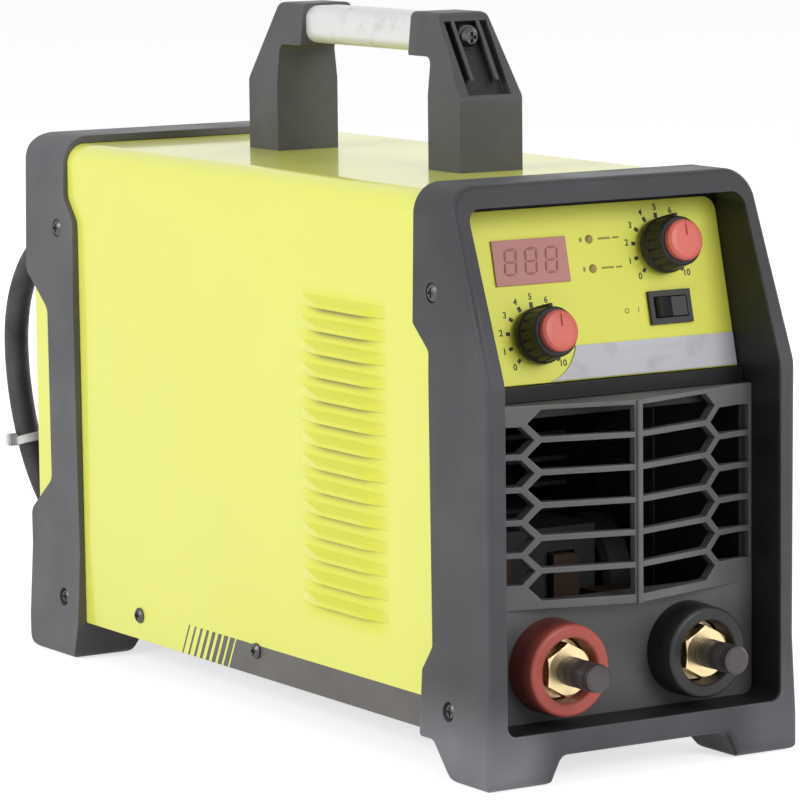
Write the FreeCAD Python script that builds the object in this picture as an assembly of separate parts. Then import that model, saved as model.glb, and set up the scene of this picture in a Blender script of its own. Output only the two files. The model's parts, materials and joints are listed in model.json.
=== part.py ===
import FreeCAD, Part
import math
import os

from FreeCAD import Vector

# Stick welding inverter. Millimetres, +Z up, the front faces -Y and +X is to the right of
# someone who looks at the front. The sub-parts are drawn with Y = 0 on the front rim; save()
# moves them so that the origin lies on the floor, under the middle of the machine's box.

# ---------------------------------------------------------------- driving dimensions
BODY_WIDTH = 130.0
BODY_HEIGHT = 208.0
BODY_DEPTH = 340.0
FOOT_FLARE = 1.0  # each foot stands out this far past the side
FOOT_WIDTH = 26.0
ARCH_HEIGHT = 10.0  # underside between the feet
FRAME_CORNER = 11.0  # outer radius of the two upper corners
KINK_HEIGHT = 141.0  # the front leans back above this height
LEAN_BACK = 26.0  # how far the top of the front rim is set back
RIM_WALL = 6.6
RIM_ROUND = 2.4  # rounding of the bezel's outer front edge

COVER_HALF = 62.0  # outer faces of the sheet metal cover
COVER_TOP = 205.0
COVER_BOTTOM = 15.0
COVER_CORNER = 8.0
SHEET = 1.2
COVER_FRONT = 34.3
COVER_REAR = 337.4
FIT_GAP = 0.2  # between a sheet and the moulding that it slides into

RECESS_HALF = BODY_WIDTH / 2 - RIM_WALL
RECESS_FLOOR = 19.0
RECESS_CEILING = 200.0
PLATE_Y = 17.5  # front face of the lower plate, behind the rim
PLATE_THICK = 2.5
PLATE_TOP = 131.6
BAR_Y = 24.0  # front face of the crossbar between the plate and the control panel
PANEL_Y = 26.0  # lower edge of the control panel's face
PANEL_Z = 136.8
PANEL_LEAN = 13.6  # degrees from upright
PANEL_HEIGHT = 62.0
PANEL_THICK = 1.5
LEDGE_HALF = 54.5  # the panels rest on a ledge outside this half width

TRAY_Z = 15.5
TRAY_THICK = 1.5
TRAY_HALF = COVER_HALF - SHEET
TRAY_FRONT = 24.2
REAR_PANEL_Y = 327.0
REAR_PANEL_THICK = 1.5

KEEL_Y = 4.0  # the grille's middle ridge, the furthest forward
KEEL_HALF = 52.0  # half width over which the grille is folded
GRILLE_BOTTOM = 62.0
GRILLE_TOP = 130.0
GRILLE_WALL = 3.0
SLOT_PITCH = 11.5
SLAT = 2.0
SLOT_ROWS = 6

TERMINAL_X = 29.3
TERMINAL_Z = 38.8
COLLAR_RADIUS = 17.0
COLLAR_FACE = 4.0
STUD_RADIUS = 5.0  # M10 output studs
STUD_CORE = 4.75  # the stud from its front nut back, where it is drawn at the thread's middle
STUD_FRONT = -14.0  # the studs stand this far out of the rim
STUD_BACK = 52.0
NUT_CORNERS = 9.8  # circle through the corners of an M10 nut, 17 mm across its flats
NUT_THICK = 8.0
WASHER_THICK = 1.5
CUP_FLOOR = 14.5
CUP_RADIUS = 11.6
COLLAR_BACK = 36.0
BUSBAR = 2.5

LOUVRE_COUNT = 14
LOUVRE_PITCH = 8.4
LOUVRE_TOP = 160.5
LOUVRE_Y = (71.0, 130.0)
LOUVRE_OUT = 2.2
LOUVRE_HEIGHT = 5.0
LOUVRE_TAPER = 14.0  # length over which each end of a hood sinks back into the sheet

HANDLE_TOP = 262.0
POST_HALF = 13.5
POST_FRONT_Y = 97.0
POST_DEPTH = 21.5
POST_ARM = 15.5
POST_SHOULDER = 232.0
POST_SLOPE = 19.0
ARM_UNDER = 246.0
REAR_POST_Y = 248.0
BAR_HALF = 9.6
BAR_CORNER = 5.0
BAR_START = POST_FRONT_Y + POST_DEPTH + 1.0  # the bar's end, inside the post's arm
BAR_SCREW_Z = 253.0
POCKET_DEPTH = 3.6
POCKET_HALF = 9.2
BOSS_FACE = 112.0

FAN_Z = 80.0
FAN_SIZE = 80.0
FAN_DEPTH = 25.0
BLADES = 7

GLAND_X = -35.0
GLAND_Z = 165.0
GLAND_END = 342.0
RELIEF_LENGTH = 20.0
CORD_RADIUS = 5.0
COIL_X = 72.0
COIL_Y = 424.0
COIL_MIDDLE_RADIUS = 58.0
PLUG_START = 76.0
PLUG_Y = 366.0
PLUG_RADIUS = 18.5

ORIGIN_Y = (BODY_DEPTH + STUD_FRONT) / 2
X_AXIS = Vector(1, 0, 0)
Y_AXIS = Vector(0, 1, 0)
Z_AXIS = Vector(0, 0, 1)


# ---------------------------------------------------------------- helpers
def save(name, shape):
    """Writes one sub-part, moved from the front-rim frame to the part's own frame."""
    if not shape.isValid():
        raise ValueError(name + " isn't a valid shape")
    moved = shape.copy()
    moved.translate(Vector(0, -ORIGIN_Y, 0))
    moved.exportStep("parts/" + name + ".step")


def box(x0, x1, y0, y1, z0, z1):
    return Part.makeBox(x1 - x0, y1 - y0, z1 - z0, Vector(x0, y0, z0))


def rod(radius, start, direction, length):
    return Part.makeCylinder(radius, length, start, direction)


def fuse(*shapes):
    return shapes[0].multiFuse(list(shapes[1:])).removeSplitter()


def cut(shape, *tools):
    return shape.cut(list(tools))


def outline(corners, place):
    """A closed wire through 2D corners (a, b) or (a, b, radius), put in space by place."""
    points = [Vector(c[0], c[1], 0) for c in corners]
    radii = [c[2] if len(c) > 2 else 0.0 for c in corners]
    count = len(points)
    starts, ends, arcs = [], [], []
    for i, point in enumerate(points):
        to_last = (points[i - 1] - point).normalize()
        to_next = (points[(i + 1) % count] - point).normalize()
        if radii[i] == 0:
            starts.append(point)
            ends.append(point)
            arcs.append(None)
            continue
        half = to_last.getAngle(to_next) / 2
        back = radii[i] / math.tan(half)
        middle = (to_last + to_next).normalize()
        centre = point + middle * (radii[i] / math.sin(half))
        starts.append(point + to_last * back)
        ends.append(point + to_next * back)
        arcs.append(centre - middle * radii[i])
    edges = []
    for i in range(count):
        if arcs[i]:
            edges.append(Part.Arc(place(starts[i]), place(arcs[i]), place(ends[i])).toShape())
        following = starts[(i + 1) % count]
        if (following - ends[i]).Length > 1e-6:
            edges.append(Part.LineSegment(place(ends[i]), place(following)).toShape())
    return Part.Wire(edges)


def along_x(corners, x0, x1):
    """Corners are (y, z)."""
    wire = outline(corners, lambda p: Vector(x0, p.x, p.y))
    return Part.Face(wire).extrude(Vector(x1 - x0, 0, 0))


def along_y(corners, y0, y1):
    """Corners are (x, z)."""
    wire = outline(corners, lambda p: Vector(p.x, y0, p.y))
    return Part.Face(wire).extrude(Vector(0, y1 - y0, 0))


def along_z(corners, z0, z1):
    """Corners are (x, y)."""
    wire = outline(corners, lambda p: Vector(p.x, p.y, z0))
    return Part.Face(wire).extrude(Vector(0, 0, z1 - z0))


def rounded_box(x0, x1, y0, y1, z0, z1, radius):
    """A box whose four edges along Y are rounded."""
    corners = [(x0, z0, radius), (x1, z0, radius), (x1, z1, radius), (x0, z1, radius)]
    return along_y(corners, y0, y1)


def turned_y(profile, x, z):
    """A solid turned about the line along Y through (x, z), from (radius, y) corners."""
    wire = outline(profile, lambda p: Vector(x + p.x, p.y, z))
    return Part.Face(wire).revolve(Vector(x, 0, z), Y_AXIS, 360)


def turned_z(profile, x, y):
    """A solid turned about the line along Z through (x, y), from (radius, z) corners."""
    wire = outline(profile, lambda p: Vector(x + p.x, y, p.y))
    return Part.Face(wire).revolve(Vector(x, y, 0), Z_AXIS, 360)


def mirrored_x(shape):
    return shape.mirror(Vector(0, 0, 0), X_AXIS)


def on_panel(shape):
    """Puts a shape on the leaning control panel: local X across, Y up the slope, Z outwards."""
    placed = shape.copy()
    placed.rotate(Vector(0, 0, 0), X_AXIS, 90 - PANEL_LEAN)
    placed.translate(Vector(0, PANEL_Y, PANEL_Z))
    return placed


def screw_head(radius, height):
    """A pan head on local Z = 0 with a cross recess."""
    top = radius * 0.66
    head = turned_z([(0, 0), (radius, 0), (radius, height * 0.45), (top, height), (0, height)], 0, 0)
    arm = radius * 0.55
    width = radius * 0.16
    slot = fuse(
        box(-arm, arm, -width, width, height * 0.45, height + 1),
        box(-width, width, -arm, arm, height * 0.45, height + 1),
    )
    return head.cut(slot)


def screw(head_radius, head_height, shank_radius, shank_length, seat, direction):
    """A screw whose head sits on seat and looks along direction."""
    body = fuse(
        screw_head(head_radius, head_height),
        rod(shank_radius, Vector(0, 0, -shank_length), Z_AXIS, shank_length + head_height * 0.3),
    )
    turn = FreeCAD.Rotation(Z_AXIS, direction)
    body.Placement = FreeCAD.Placement(seat, turn)
    return body


# ---------------------------------------------------------------- outlines used more than once
def frame_outline():
    """Front view of the bezel and of the bumper: rounded top, waist, flared feet, arch."""
    half = BODY_WIDTH / 2
    foot = half + FOOT_FLARE
    inner = foot - FOOT_WIDTH
    right = [
        (inner - 5, ARCH_HEIGHT, 4),
        (inner, 0, 3),
        (foot, 0, 3),
        (foot, 13, 8),
        (half - 0.6, 42, 30),
        (half, KINK_HEIGHT),
        (half - 1.4, BODY_HEIGHT, FRAME_CORNER),
    ]
    left = [(-c[0],) + c[1:] for c in reversed(right)]
    return right + left


def cover_outline(grow):
    """Front view of the space inside the cover's outer face, made larger by grow."""
    half = COVER_HALF + grow
    corner = COVER_CORNER + grow
    top = COVER_TOP + grow
    return [(-half, COVER_BOTTOM), (half, COVER_BOTTOM), (half, top, corner), (-half, top, corner)]


# ---------------------------------------------------------------- housing
BEZEL_SCREWS = ((36.8, 170.5), (27.0, 24.7))
BUMPER_SCREWS = ((313.8, 171.6), (312.0, 24.0))
COVER_SCREWS = ((165.0, 24.5), (255.0, 24.5))
SCREW_WELL = 3.6
WELL_DEPTH = 1.6
SCREW_HOLE = 1.6


def side_wells(places):
    """Screw wells in both sides of a moulding, each with the screw's own hole at its bottom."""
    seat = BODY_WIDTH / 2 - WELL_DEPTH
    wells = []
    for y, z in places:
        right = rod(SCREW_WELL, Vector(seat, y, z), X_AXIS, WELL_DEPTH + 3)
        wells += [right, mirrored_x(right)]
    return wells + cross_holes(places)


def cross_holes(places):
    """One drill through both sides for each screw."""
    return [rod(SCREW_HOLE, Vector(-BODY_WIDTH / 2 - 3, y, z), X_AXIS, BODY_WIDTH + 6) for y, z in places]


def front_rim_edges(body):
    """The edges where the front faces meet the sides, the upper corners and the top."""
    rims = []
    for edge in body.Edges:
        place = edge.CenterOfMass
        outer = abs(place.x) > BODY_WIDTH / 2 - 4 or place.z > BODY_HEIGHT - FRAME_CORNER
        faces = body.ancestorsOfType(edge, Part.Face)
        normals = [f.normalAt(*f.Surface.parameter(f.CenterOfMass)) for f in faces]
        front = any(n.y < -0.9 for n in normals)
        outside = any(n.y > -0.5 and (abs(n.x) > 0.7 or n.z > 0.6) for n in normals)
        if outer and front and outside:
            rims.append(edge)
    return rims


def front_bezel():
    side = [
        (0, 0),
        (0, KINK_HEIGHT, 14),
        (LEAN_BACK, BODY_HEIGHT),
        (49, BODY_HEIGHT, 1.5),
        (49, 159, 2),
        (38.5, 150, 3),
        (38.5, 46, 3),
        (45, 37, 2),
        (45, 13.5, 1.5),
        (36, 13.5, 3),
        (24, 0, 5),
    ]
    far = BODY_WIDTH
    body = along_y(frame_outline(), -1, 60).common(along_x(side, -far, far))
    body = body.makeFillet(RIM_ROUND, front_rim_edges(body))
    toe = [(0, 0, 5), (0, BODY_HEIGHT + 1), (60, BODY_HEIGHT + 1), (60, 0)]
    body = body.common(along_x(toe, -far, far))
    back_z = PANEL_HEIGHT * math.cos(math.radians(PANEL_LEAN))
    back_y = PANEL_HEIGHT * math.sin(math.radians(PANEL_LEAN))
    behind = PANEL_THICK / math.cos(math.radians(PANEL_LEAN))
    recess_side = [
        (-5, RECESS_FLOOR),
        (PLATE_Y + PLATE_THICK, RECESS_FLOOR),
        (PLATE_Y + PLATE_THICK, PLATE_TOP),
        (BAR_Y, PLATE_TOP),
        (BAR_Y, PANEL_Z),
        (PANEL_Y + behind, PANEL_Z),
        (PANEL_Y + behind + back_y, PANEL_Z + back_z),
        (PANEL_Y + behind + back_y, RECESS_CEILING),
        (-5, RECESS_CEILING),
    ]
    recess_front = [
        (-RECESS_HALF, RECESS_FLOOR, 4),
        (RECESS_HALF, RECESS_FLOOR, 4),
        (RECESS_HALF, RECESS_CEILING, 5),
        (-RECESS_HALF, RECESS_CEILING, 5),
    ]
    recess = along_x(recess_side, -far, far).common(along_y(recess_front, -5, 60))
    lower = box(-LEDGE_HALF, LEDGE_HALF, 18, 60, 22, 126)
    ledge = 3.0
    upper = along_x(
        [
            (PANEL_Y + ledge * 0.2, PANEL_Z + ledge),
            (PANEL_Y + back_y, PANEL_Z + back_z - ledge),
            (60, PANEL_Z + back_z - ledge),
            (60, PANEL_Z + ledge),
        ],
        -LEDGE_HALF,
        LEDGE_HALF,
    )
    slot = along_y(cover_outline(FIT_GAP), COVER_FRONT - 0.3, 60)
    slot = slot.cut(along_y(cover_outline(-SHEET - FIT_GAP), 0, 70))
    tray = box(-TRAY_HALF + 0.4, TRAY_HALF - 0.4, TRAY_FRONT - FIT_GAP, 60, TRAY_Z, 26)
    body = cut(body, recess, lower, upper, slot, tray)
    return cut(body, *side_wells(BEZEL_SCREWS))


def rear_bumper():
    rear = BODY_DEPTH
    side = [
        (303, 0, 5),
        (299.5, 14, 3),
        (300.5, 175, 6),
        (308, 184, 6),
        (308, BODY_HEIGHT),
        (rear, BODY_HEIGHT, 6),
        (rear, 153, 5),
        (322, 139, 5),
        (322, 70, 5),
        (rear, 56, 5),
        (rear, 0, 6),
    ]
    far = BODY_WIDTH
    body = along_y(frame_outline(), 290, rear + 1).common(along_x(side, -far, far))
    pocket = along_y(cover_outline(FIT_GAP), 280, COVER_REAR + FIT_GAP)
    opening = rounded_box(-57.5, 57.5, 320, rear + 5, 20, 198, 6)
    body = cut(body, pocket, opening)
    return cut(body, *side_wells(BUMPER_SCREWS))


def louvre(z):
    """One hood on the right side and the slit under it."""
    y0, y1 = LOUVRE_Y
    outside = COVER_HALF + LOUVRE_OUT
    hood = along_y(
        [
            (COVER_HALF - SHEET / 2, z),
            (outside, z),
            (outside, z + 1.6),
            (COVER_HALF - SHEET / 2, z + LOUVRE_HEIGHT),
        ],
        y0,
        y1,
    )
    plan = along_z(
        [
            (COVER_HALF - 1, y0),
            (COVER_HALF, y0),
            (outside, y0 + LOUVRE_TAPER),
            (outside, y1 - LOUVRE_TAPER),
            (COVER_HALF, y1),
            (COVER_HALF - 1, y1),
        ],
        z - 1,
        z + LOUVRE_HEIGHT + 1,
    )
    hollow = along_y(
        [
            (COVER_HALF - 3, z - 0.01),
            (outside - 0.9, z - 0.01),
            (outside - 0.9, z + 1.1),
            (COVER_HALF - SHEET, z + 2.9),
            (COVER_HALF - 3, z + 2.9),
        ],
        y0 + LOUVRE_TAPER - 1,
        y1 - LOUVRE_TAPER + 1,
    )
    return hood.common(plan), hollow


def top_cover():
    shell = along_y(cover_outline(0), COVER_FRONT, COVER_REAR)
    inside = along_y(cover_outline(-SHEET), COVER_FRONT - 1, COVER_REAR + 1)
    inside.translate(Vector(0, 0, -0.001))
    below = box(-COVER_HALF + SHEET, COVER_HALF - SHEET, 30, 340, COVER_BOTTOM - 1, 60)
    shell = cut(shell, inside, below)
    hoods, hollows = [], []
    for row in range(LOUVRE_COUNT):
        hood, hollow = louvre(LOUVRE_TOP - row * LOUVRE_PITCH - LOUVRE_HEIGHT / 2)
        hoods += [hood, mirrored_x(hood)]
        hollows += [hollow, mirrored_x(hollow)]
    shell = shell.multiFuse(hoods)
    holes = cross_holes(COVER_SCREWS + BEZEL_SCREWS[:1] + BUMPER_SCREWS)
    for y in (POST_FRONT_Y + 6, POST_FRONT_Y + 15, REAR_POST_Y - 6, REAR_POST_Y - 15):
        holes.append(rod(2.1, Vector(0, y, 200), Z_AXIS, 10))
    return cut(shell, *(hollows + holes))


def base_tray():
    z0, z1 = TRAY_Z, TRAY_Z + TRAY_THICK
    flange = 33.0
    wall = SHEET
    rear = REAR_PANEL_Y
    tray = fuse(
        box(-TRAY_HALF + 0.6, TRAY_HALF - 0.6, TRAY_FRONT, rear, z0, z1),
        box(-TRAY_HALF, -TRAY_HALF + wall, 51, rear, z0, flange),
        box(TRAY_HALF - wall, TRAY_HALF, 51, rear, z0, flange),
        box(-TRAY_HALF, TRAY_HALF, rear - wall, rear, z0, 24.0),
    )
    vents = []
    for row in range(8):
        y = 120 + row * 12
        for x in (-28, 28):
            vents.append(box(x - 18, x + 18, y, y + 4.2, z0 - 1, z1 + 1))
    return cut(tray, *(vents + cross_holes(COVER_SCREWS + BUMPER_SCREWS[1:])))


# ---------------------------------------------------------------- grille and output terminals
def grille_plan(back):
    """Plan view of the folded grille face, moved back by a distance."""
    half = RECESS_HALF - FIT_GAP
    return [
        (-half, PLATE_Y + back),
        (-KEEL_HALF, PLATE_Y + back),
        (0, KEEL_Y + back, 1.5),
        (KEEL_HALF, PLATE_Y + back),
        (half, PLATE_Y + back),
    ]


def grille_slots():
    """Six long slots each side of the keel, and five short cells between their pointed ends."""
    rib, inner, outer, edge = 1.6, 35.0, 41.0, 57.0
    slots = []
    for row in range(SLOT_ROWS):
        top = GRILLE_TOP - row * SLOT_PITCH
        low = top - SLOT_PITCH + SLAT
        middle = (top + low) / 2
        slots.append([(rib, low), (inner, low), (outer - 1, middle), (inner, top), (rib, top)])
    for row in range(SLOT_ROWS - 1):
        low = GRILLE_TOP - (row + 1.5) * SLOT_PITCH + SLAT
        top = low + SLOT_PITCH - SLAT
        middle = (top + low) / 2
        slots.append([(outer + 1.2, low), (edge, low), (edge, top), (outer + 1.2, top),
                      (inner + 2.4, middle)])
    solids = []
    for corners in slots:
        right = along_y(corners, 0, 25)
        solids += [right, mirrored_x(right)]
    return solids


def front_grille():
    half = RECESS_HALF - FIT_GAP
    back = PLATE_Y + PLATE_THICK
    front = grille_plan(0)
    folded = along_z(front + [(half, back), (-half, back)], GRILLE_BOTTOM - 2, PLATE_TOP)
    hollow_plan = [
        (-KEEL_HALF + 9.5, back + 1),
        (-KEEL_HALF + 9.5, back - 0.4),
        (0, KEEL_Y + GRILLE_WALL, 1),
        (KEEL_HALF - 9.5, back - 0.4),
        (KEEL_HALF - 9.5, back + 1),
    ]
    hollow = along_z(hollow_plan, GRILLE_BOTTOM, GRILLE_TOP + 0.1)
    keel = along_z([(-1.6, 7), (-1.1, KEEL_Y - 1, 0.8), (1.1, KEEL_Y - 1, 0.8), (1.6, 7)],
                   GRILLE_BOTTOM - 2, PLATE_TOP)
    flat = rounded_box(-half, half, PLATE_Y, back, RECESS_FLOOR, GRILLE_BOTTOM, 3.8)
    flat = flat.fuse(box(-half, half, PLATE_Y, back, 30, GRILLE_BOTTOM))
    body = cut(fuse(folded, keel), hollow)
    body = cut(body, *grille_slots())
    holes = [rod(14.0 + FIT_GAP, Vector(x, PLATE_Y - 1, TERMINAL_Z), Y_AXIS, 5)
             for x in (-TERMINAL_X, TERMINAL_X)]
    return cut(fuse(body, flat), *holes)


def hexagon(x, z, corner_radius, first=30):
    """Corners (x, z) of a nut."""
    turns = [math.radians(first + i * 60) for i in range(6)]
    return [(x + corner_radius * math.cos(t), z + corner_radius * math.sin(t)) for t in turns]


def terminal_collar(x):
    """The insulating collar: a cup in front, a neck through the plate, a lock ring behind."""
    plate_back = PLATE_Y + PLATE_THICK
    bore = STUD_CORE + FIT_GAP
    profile = [
        (bore, CUP_FLOOR),
        (CUP_RADIUS - 0.4, CUP_FLOOR),
        (CUP_RADIUS, COLLAR_FACE + 0.6),
        (CUP_RADIUS + 0.6, COLLAR_FACE),
        (COLLAR_RADIUS - 0.6, COLLAR_FACE, 1.6),
        (COLLAR_RADIUS, PLATE_Y),
        (14.0, PLATE_Y),
        (14.0, plate_back),
        (16.0, plate_back),
        (16.0, plate_back + 7),
        (11.0, plate_back + 7),
        (10.0, COLLAR_BACK),
        (bore, COLLAR_BACK),
    ]
    return turned_y(profile, x, TERMINAL_Z)


def terminal_stud(x):
    """Full size where it stands free in front of its nut, and at its core further back."""
    free_end = CUP_FLOOR - WASHER_THICK - NUT_THICK - 0.5
    profile = [
        (0, STUD_FRONT),
        (STUD_RADIUS - 0.8, STUD_FRONT),
        (STUD_RADIUS, STUD_FRONT + 0.8),
        (STUD_RADIUS, free_end),
        (STUD_CORE, free_end + 0.3),
        (STUD_CORE, STUD_BACK),
        (0, STUD_BACK),
    ]
    return turned_y(profile, x, TERMINAL_Z)


def chamfered_nut(x, z, corner_radius, bore, front, thick):
    """A hexagon nut along Y whose outer corners are turned off at both ends."""
    prism = along_y(hexagon(x, z, corner_radius), front, front + thick)
    flats = corner_radius * math.cos(math.radians(30))
    rise = (corner_radius - flats) * 0.6
    turned = turned_y([(bore, front), (flats, front), (corner_radius + 0.05, front + rise),
                       (corner_radius + 0.05, front + thick - rise), (flats, front + thick),
                       (bore, front + thick)], x, z)
    return prism.common(turned)


def plain_nut(x, z, corner_radius, bore, front, thick):
    """A hexagon nut along Y without chamfers, for places inside the housing."""
    prism = along_y(hexagon(x, z, corner_radius), front, front + thick)
    return prism.cut(rod(bore, Vector(x, front - 1, z), Y_AXIS, thick + 2))


def washer(x, z, radius, bore, front, thick):
    back = front + thick
    return turned_y([(bore, front), (radius, front), (radius, back), (bore, back)], x, z)


def terminal_nuts():
    """Per stud: washer and nut in the collar's cup, and a nut that clamps the busbar behind."""
    pieces = []
    seat = CUP_FLOOR - WASHER_THICK
    for x in (-TERMINAL_X, TERMINAL_X):
        pieces.append(washer(x, TERMINAL_Z, CUP_RADIUS - 0.8, STUD_CORE, seat, WASHER_THICK))
        pieces.append(chamfered_nut(x, TERMINAL_Z, NUT_CORNERS, STUD_CORE, seat - NUT_THICK, NUT_THICK))
        pieces.append(plain_nut(x, TERMINAL_Z, NUT_CORNERS, STUD_CORE, COLLAR_BACK + BUSBAR, NUT_THICK))
    return Part.makeCompound(pieces)


# ---------------------------------------------------------------- control panel
DISPLAY = (-24.0, 43.2, 31.0, 16.0)  # centre across and up the slope, width, height
KNOBS = {"current": (31.8, 45.0), "force": (-26.0, 16.7)}
SWITCH = (32.0, 23.2, 17.8, 12.0)
LAMPS = ((2.0, 49.5), (2.0, 39.0))
STRIP_HEIGHT = 12.4
STRIP_CLEARANCE = 16.6  # radius of its cut-out round the lower knob
KNOB_RADIUS = 9.5
CAP_RADIUS = 7.3
KNOB_TALL = 17.5
KNOB_FLUTES = 16
SPINDLE_RADIUS = 3.0
SPINDLE_CLEARANCE = 0.05
BOARD_FACE = -10.0  # the control board's face, behind the panel's
BOARD_BACK = -11.6


def centred(spot, grow, z0, z1):
    x, y, wide, high = spot
    return Part.makeBox(wide + 2 * grow, high + 2 * grow, z1 - z0,
                        Vector(x - wide / 2 - grow, y - high / 2 - grow, z0))


def control_panel():
    half = RECESS_HALF - FIT_GAP
    plate = along_z([(-half, 0.3), (half, 0.3), (half, PANEL_HEIGHT, 5.4),
                     (-half, PANEL_HEIGHT, 5.4)], -PANEL_THICK, 0)
    holes = [centred(DISPLAY, -1.2, -5, 5), centred(SWITCH, -1.2, -5, 5)]
    for x, y in KNOBS.values():
        holes.append(rod(3.7, Vector(x, y, -5), Z_AXIS, 10))
    for x, y in LAMPS:
        holes.append(rod(1.5, Vector(x, y, -5), Z_AXIS, 10))
    return on_panel(cut(plate, *holes))


def panel_strip():
    """The bare metal trim along the panel's lower edge, cut away round the lower knob."""
    half = RECESS_HALF - FIT_GAP - 0.4
    x, y = KNOBS["force"]
    strip = along_z([(x, 0.6), (half, 0.6), (half, STRIP_HEIGHT), (x, STRIP_HEIGHT)], 0, 0.6)
    return on_panel(strip.cut(rod(STRIP_CLEARANCE, Vector(x, y, -1), Z_AXIS, 3)))


def display_window():
    lens = centred(DISPLAY, 0, 0, 0.9)
    tongue = centred(DISPLAY, -1.4, -PANEL_THICK, 0)
    return on_panel(fuse(lens, tongue))


def display_module():
    module = centred(DISPLAY, -2.0, BOARD_FACE, -PANEL_THICK - 0.3)
    digits = []
    x, y, _, _ = DISPLAY
    for i in (-1, 0, 1):
        spot = (x + i * 8.4, y, 6.6, 10.0)
        digits.append(centred(spot, 0, -PANEL_THICK - 0.8, 0))
    return on_panel(cut(module, *digits))


def indicator_lamps():
    lamps = []
    for x, y in LAMPS:
        lamps.append(turned_z([(0, BOARD_FACE), (1.45, BOARD_FACE), (1.45, 0.4), (0.9, 0.9), (0, 0.9)], x, y))
    return on_panel(Part.makeCompound(lamps))


def control_board():
    board = along_z([(-50, 8), (50, 8), (50, 58), (-50, 58)], BOARD_BACK, BOARD_FACE)
    holes = [rod(4.2, Vector(x, y, -15), Z_AXIS, 10) for x, y in KNOBS.values()]
    chips = [
        Part.makeBox(12, 12, 2.4, Vector(-6, 26, BOARD_BACK - 2.4)),
        Part.makeBox(9, 5, 2.0, Vector(12, 12, BOARD_BACK - 2.0)),
        Part.makeBox(16, 6, 8.0, Vector(-8, 46, BOARD_BACK - 8.0)),
    ]
    return on_panel(fuse(cut(board, *holes), *chips))


def potentiometer(name):
    """Case behind the board and a bush through board and panel; the bush carries the spindle."""
    x, y = KNOBS[name]
    bush = SPINDLE_RADIUS + SPINDLE_CLEARANCE
    profile = [
        (0, -19),
        (8.2, -19),
        (8.2, BOARD_BACK),
        (4.0, BOARD_BACK),
        (4.0, -PANEL_THICK),
        (3.5, -PANEL_THICK),
        (3.5, 1.9),
        (bush, 1.9),
        (bush, -17.3),
        (0, -17.3),
    ]
    return on_panel(turned_z(profile, x, y))


def potentiometer_nuts():
    nuts = []
    for x, y in KNOBS.values():
        nut = along_z(hexagon(x, y, 5.8), 0, 1.8)
        nuts.append(nut.cut(rod(3.5, Vector(x, y, -1), Z_AXIS, 4)))
    return on_panel(Part.makeCompound(nuts))


def knob_spindle(name):
    x, y = KNOBS[name]
    return on_panel(rod(SPINDLE_RADIUS, Vector(x, y, -17), Z_AXIS, 28))


def knob_body(name):
    """A fluted black skirt with a pointer rib."""
    x, y = KNOBS[name]
    profile = [
        (SPINDLE_RADIUS, 2.4),
        (KNOB_RADIUS + 0.6, 2.4),
        (KNOB_RADIUS + 0.6, 4.4),
        (KNOB_RADIUS, 5.4),
        (KNOB_RADIUS - 0.6, 13.3),
        (KNOB_RADIUS - 1.2, 14.0),
        (SPINDLE_RADIUS, 14.0),
    ]
    knob = turned_z(profile, x, y)
    flutes = []
    for i in range(KNOB_FLUTES):
        groove = Part.makeBox(1.6, 1.6, 10, Vector(-0.8, -0.8, 5.6))
        groove.rotate(Vector(0, 0, 0), Z_AXIS, 45)
        groove.translate(Vector(KNOB_RADIUS + 0.3, 0, 0))
        groove.rotate(Vector(0, 0, 0), Z_AXIS, (i + 0.5) * 360 / KNOB_FLUTES)
        groove.translate(Vector(x, y, 0))
        flutes.append(groove)
    pointer = Part.makeBox(1.2, 3.4, 8.6, Vector(x - 0.6, y + KNOB_RADIUS - 2.7, 4.0))
    return on_panel(fuse(cut(knob, *flutes), pointer))


def knob_cap(name):
    """The red cap on the knob's end, domed, with a moulded line."""
    x, y = KNOBS[name]
    profile = [(0, 14.0), (CAP_RADIUS, 14.0), (CAP_RADIUS, 16.2), (CAP_RADIUS - 0.9, 17.1),
               (CAP_RADIUS - 2.6, KNOB_TALL), (0, KNOB_TALL)]
    cap = turned_z(profile, x, y)
    line = Part.makeBox(1.0, CAP_RADIUS, 2.0, Vector(x - 0.5, y + 1.5, 16.9))
    return on_panel(cap.cut(line))


def rocker_shape(reach, width, tilt):
    """A rocker about local Y, its ends on a circle about the pivot, tilted to one side."""
    body = rod(reach, Vector(0, -width / 2, 0), Y_AXIS, width)
    top = along_y([(-reach - 1, -0.6 * reach), (reach + 1, -0.6 * reach), (reach + 1, 0.42 * reach),
                   (0, 0.22 * reach), (-reach - 1, 0.42 * reach)], -width, width)
    shape = body.common(top)
    shape.rotate(Vector(0, 0, 0), Y_AXIS, tilt)
    return shape


ROCKER_TILT = 9.0
MODE_REACH = 6.8
MODE_PIVOT = 0.4
POWER_REACH = 11.4
POWER_SPOT = (30.0, 160.0)


def mode_switch_housing():
    x, y, wide, high = SWITCH
    frame = centred(SWITCH, 0, 0, 1.7)
    case = centred(SWITCH, -1.4, BOARD_FACE, 0)
    pit = Part.makeBox(2 * MODE_REACH + 0.6, high - 4.4, 20,
                       Vector(x - MODE_REACH - 0.3, y - high / 2 + 2.2, -8.4))
    return on_panel(cut(fuse(frame, case), pit))


def mode_rocker():
    x, y, _, high = SWITCH
    rocker = rocker_shape(MODE_REACH, high - 5.0, ROCKER_TILT)
    rocker.translate(Vector(x, y, MODE_PIVOT))
    return on_panel(rocker)


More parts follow.
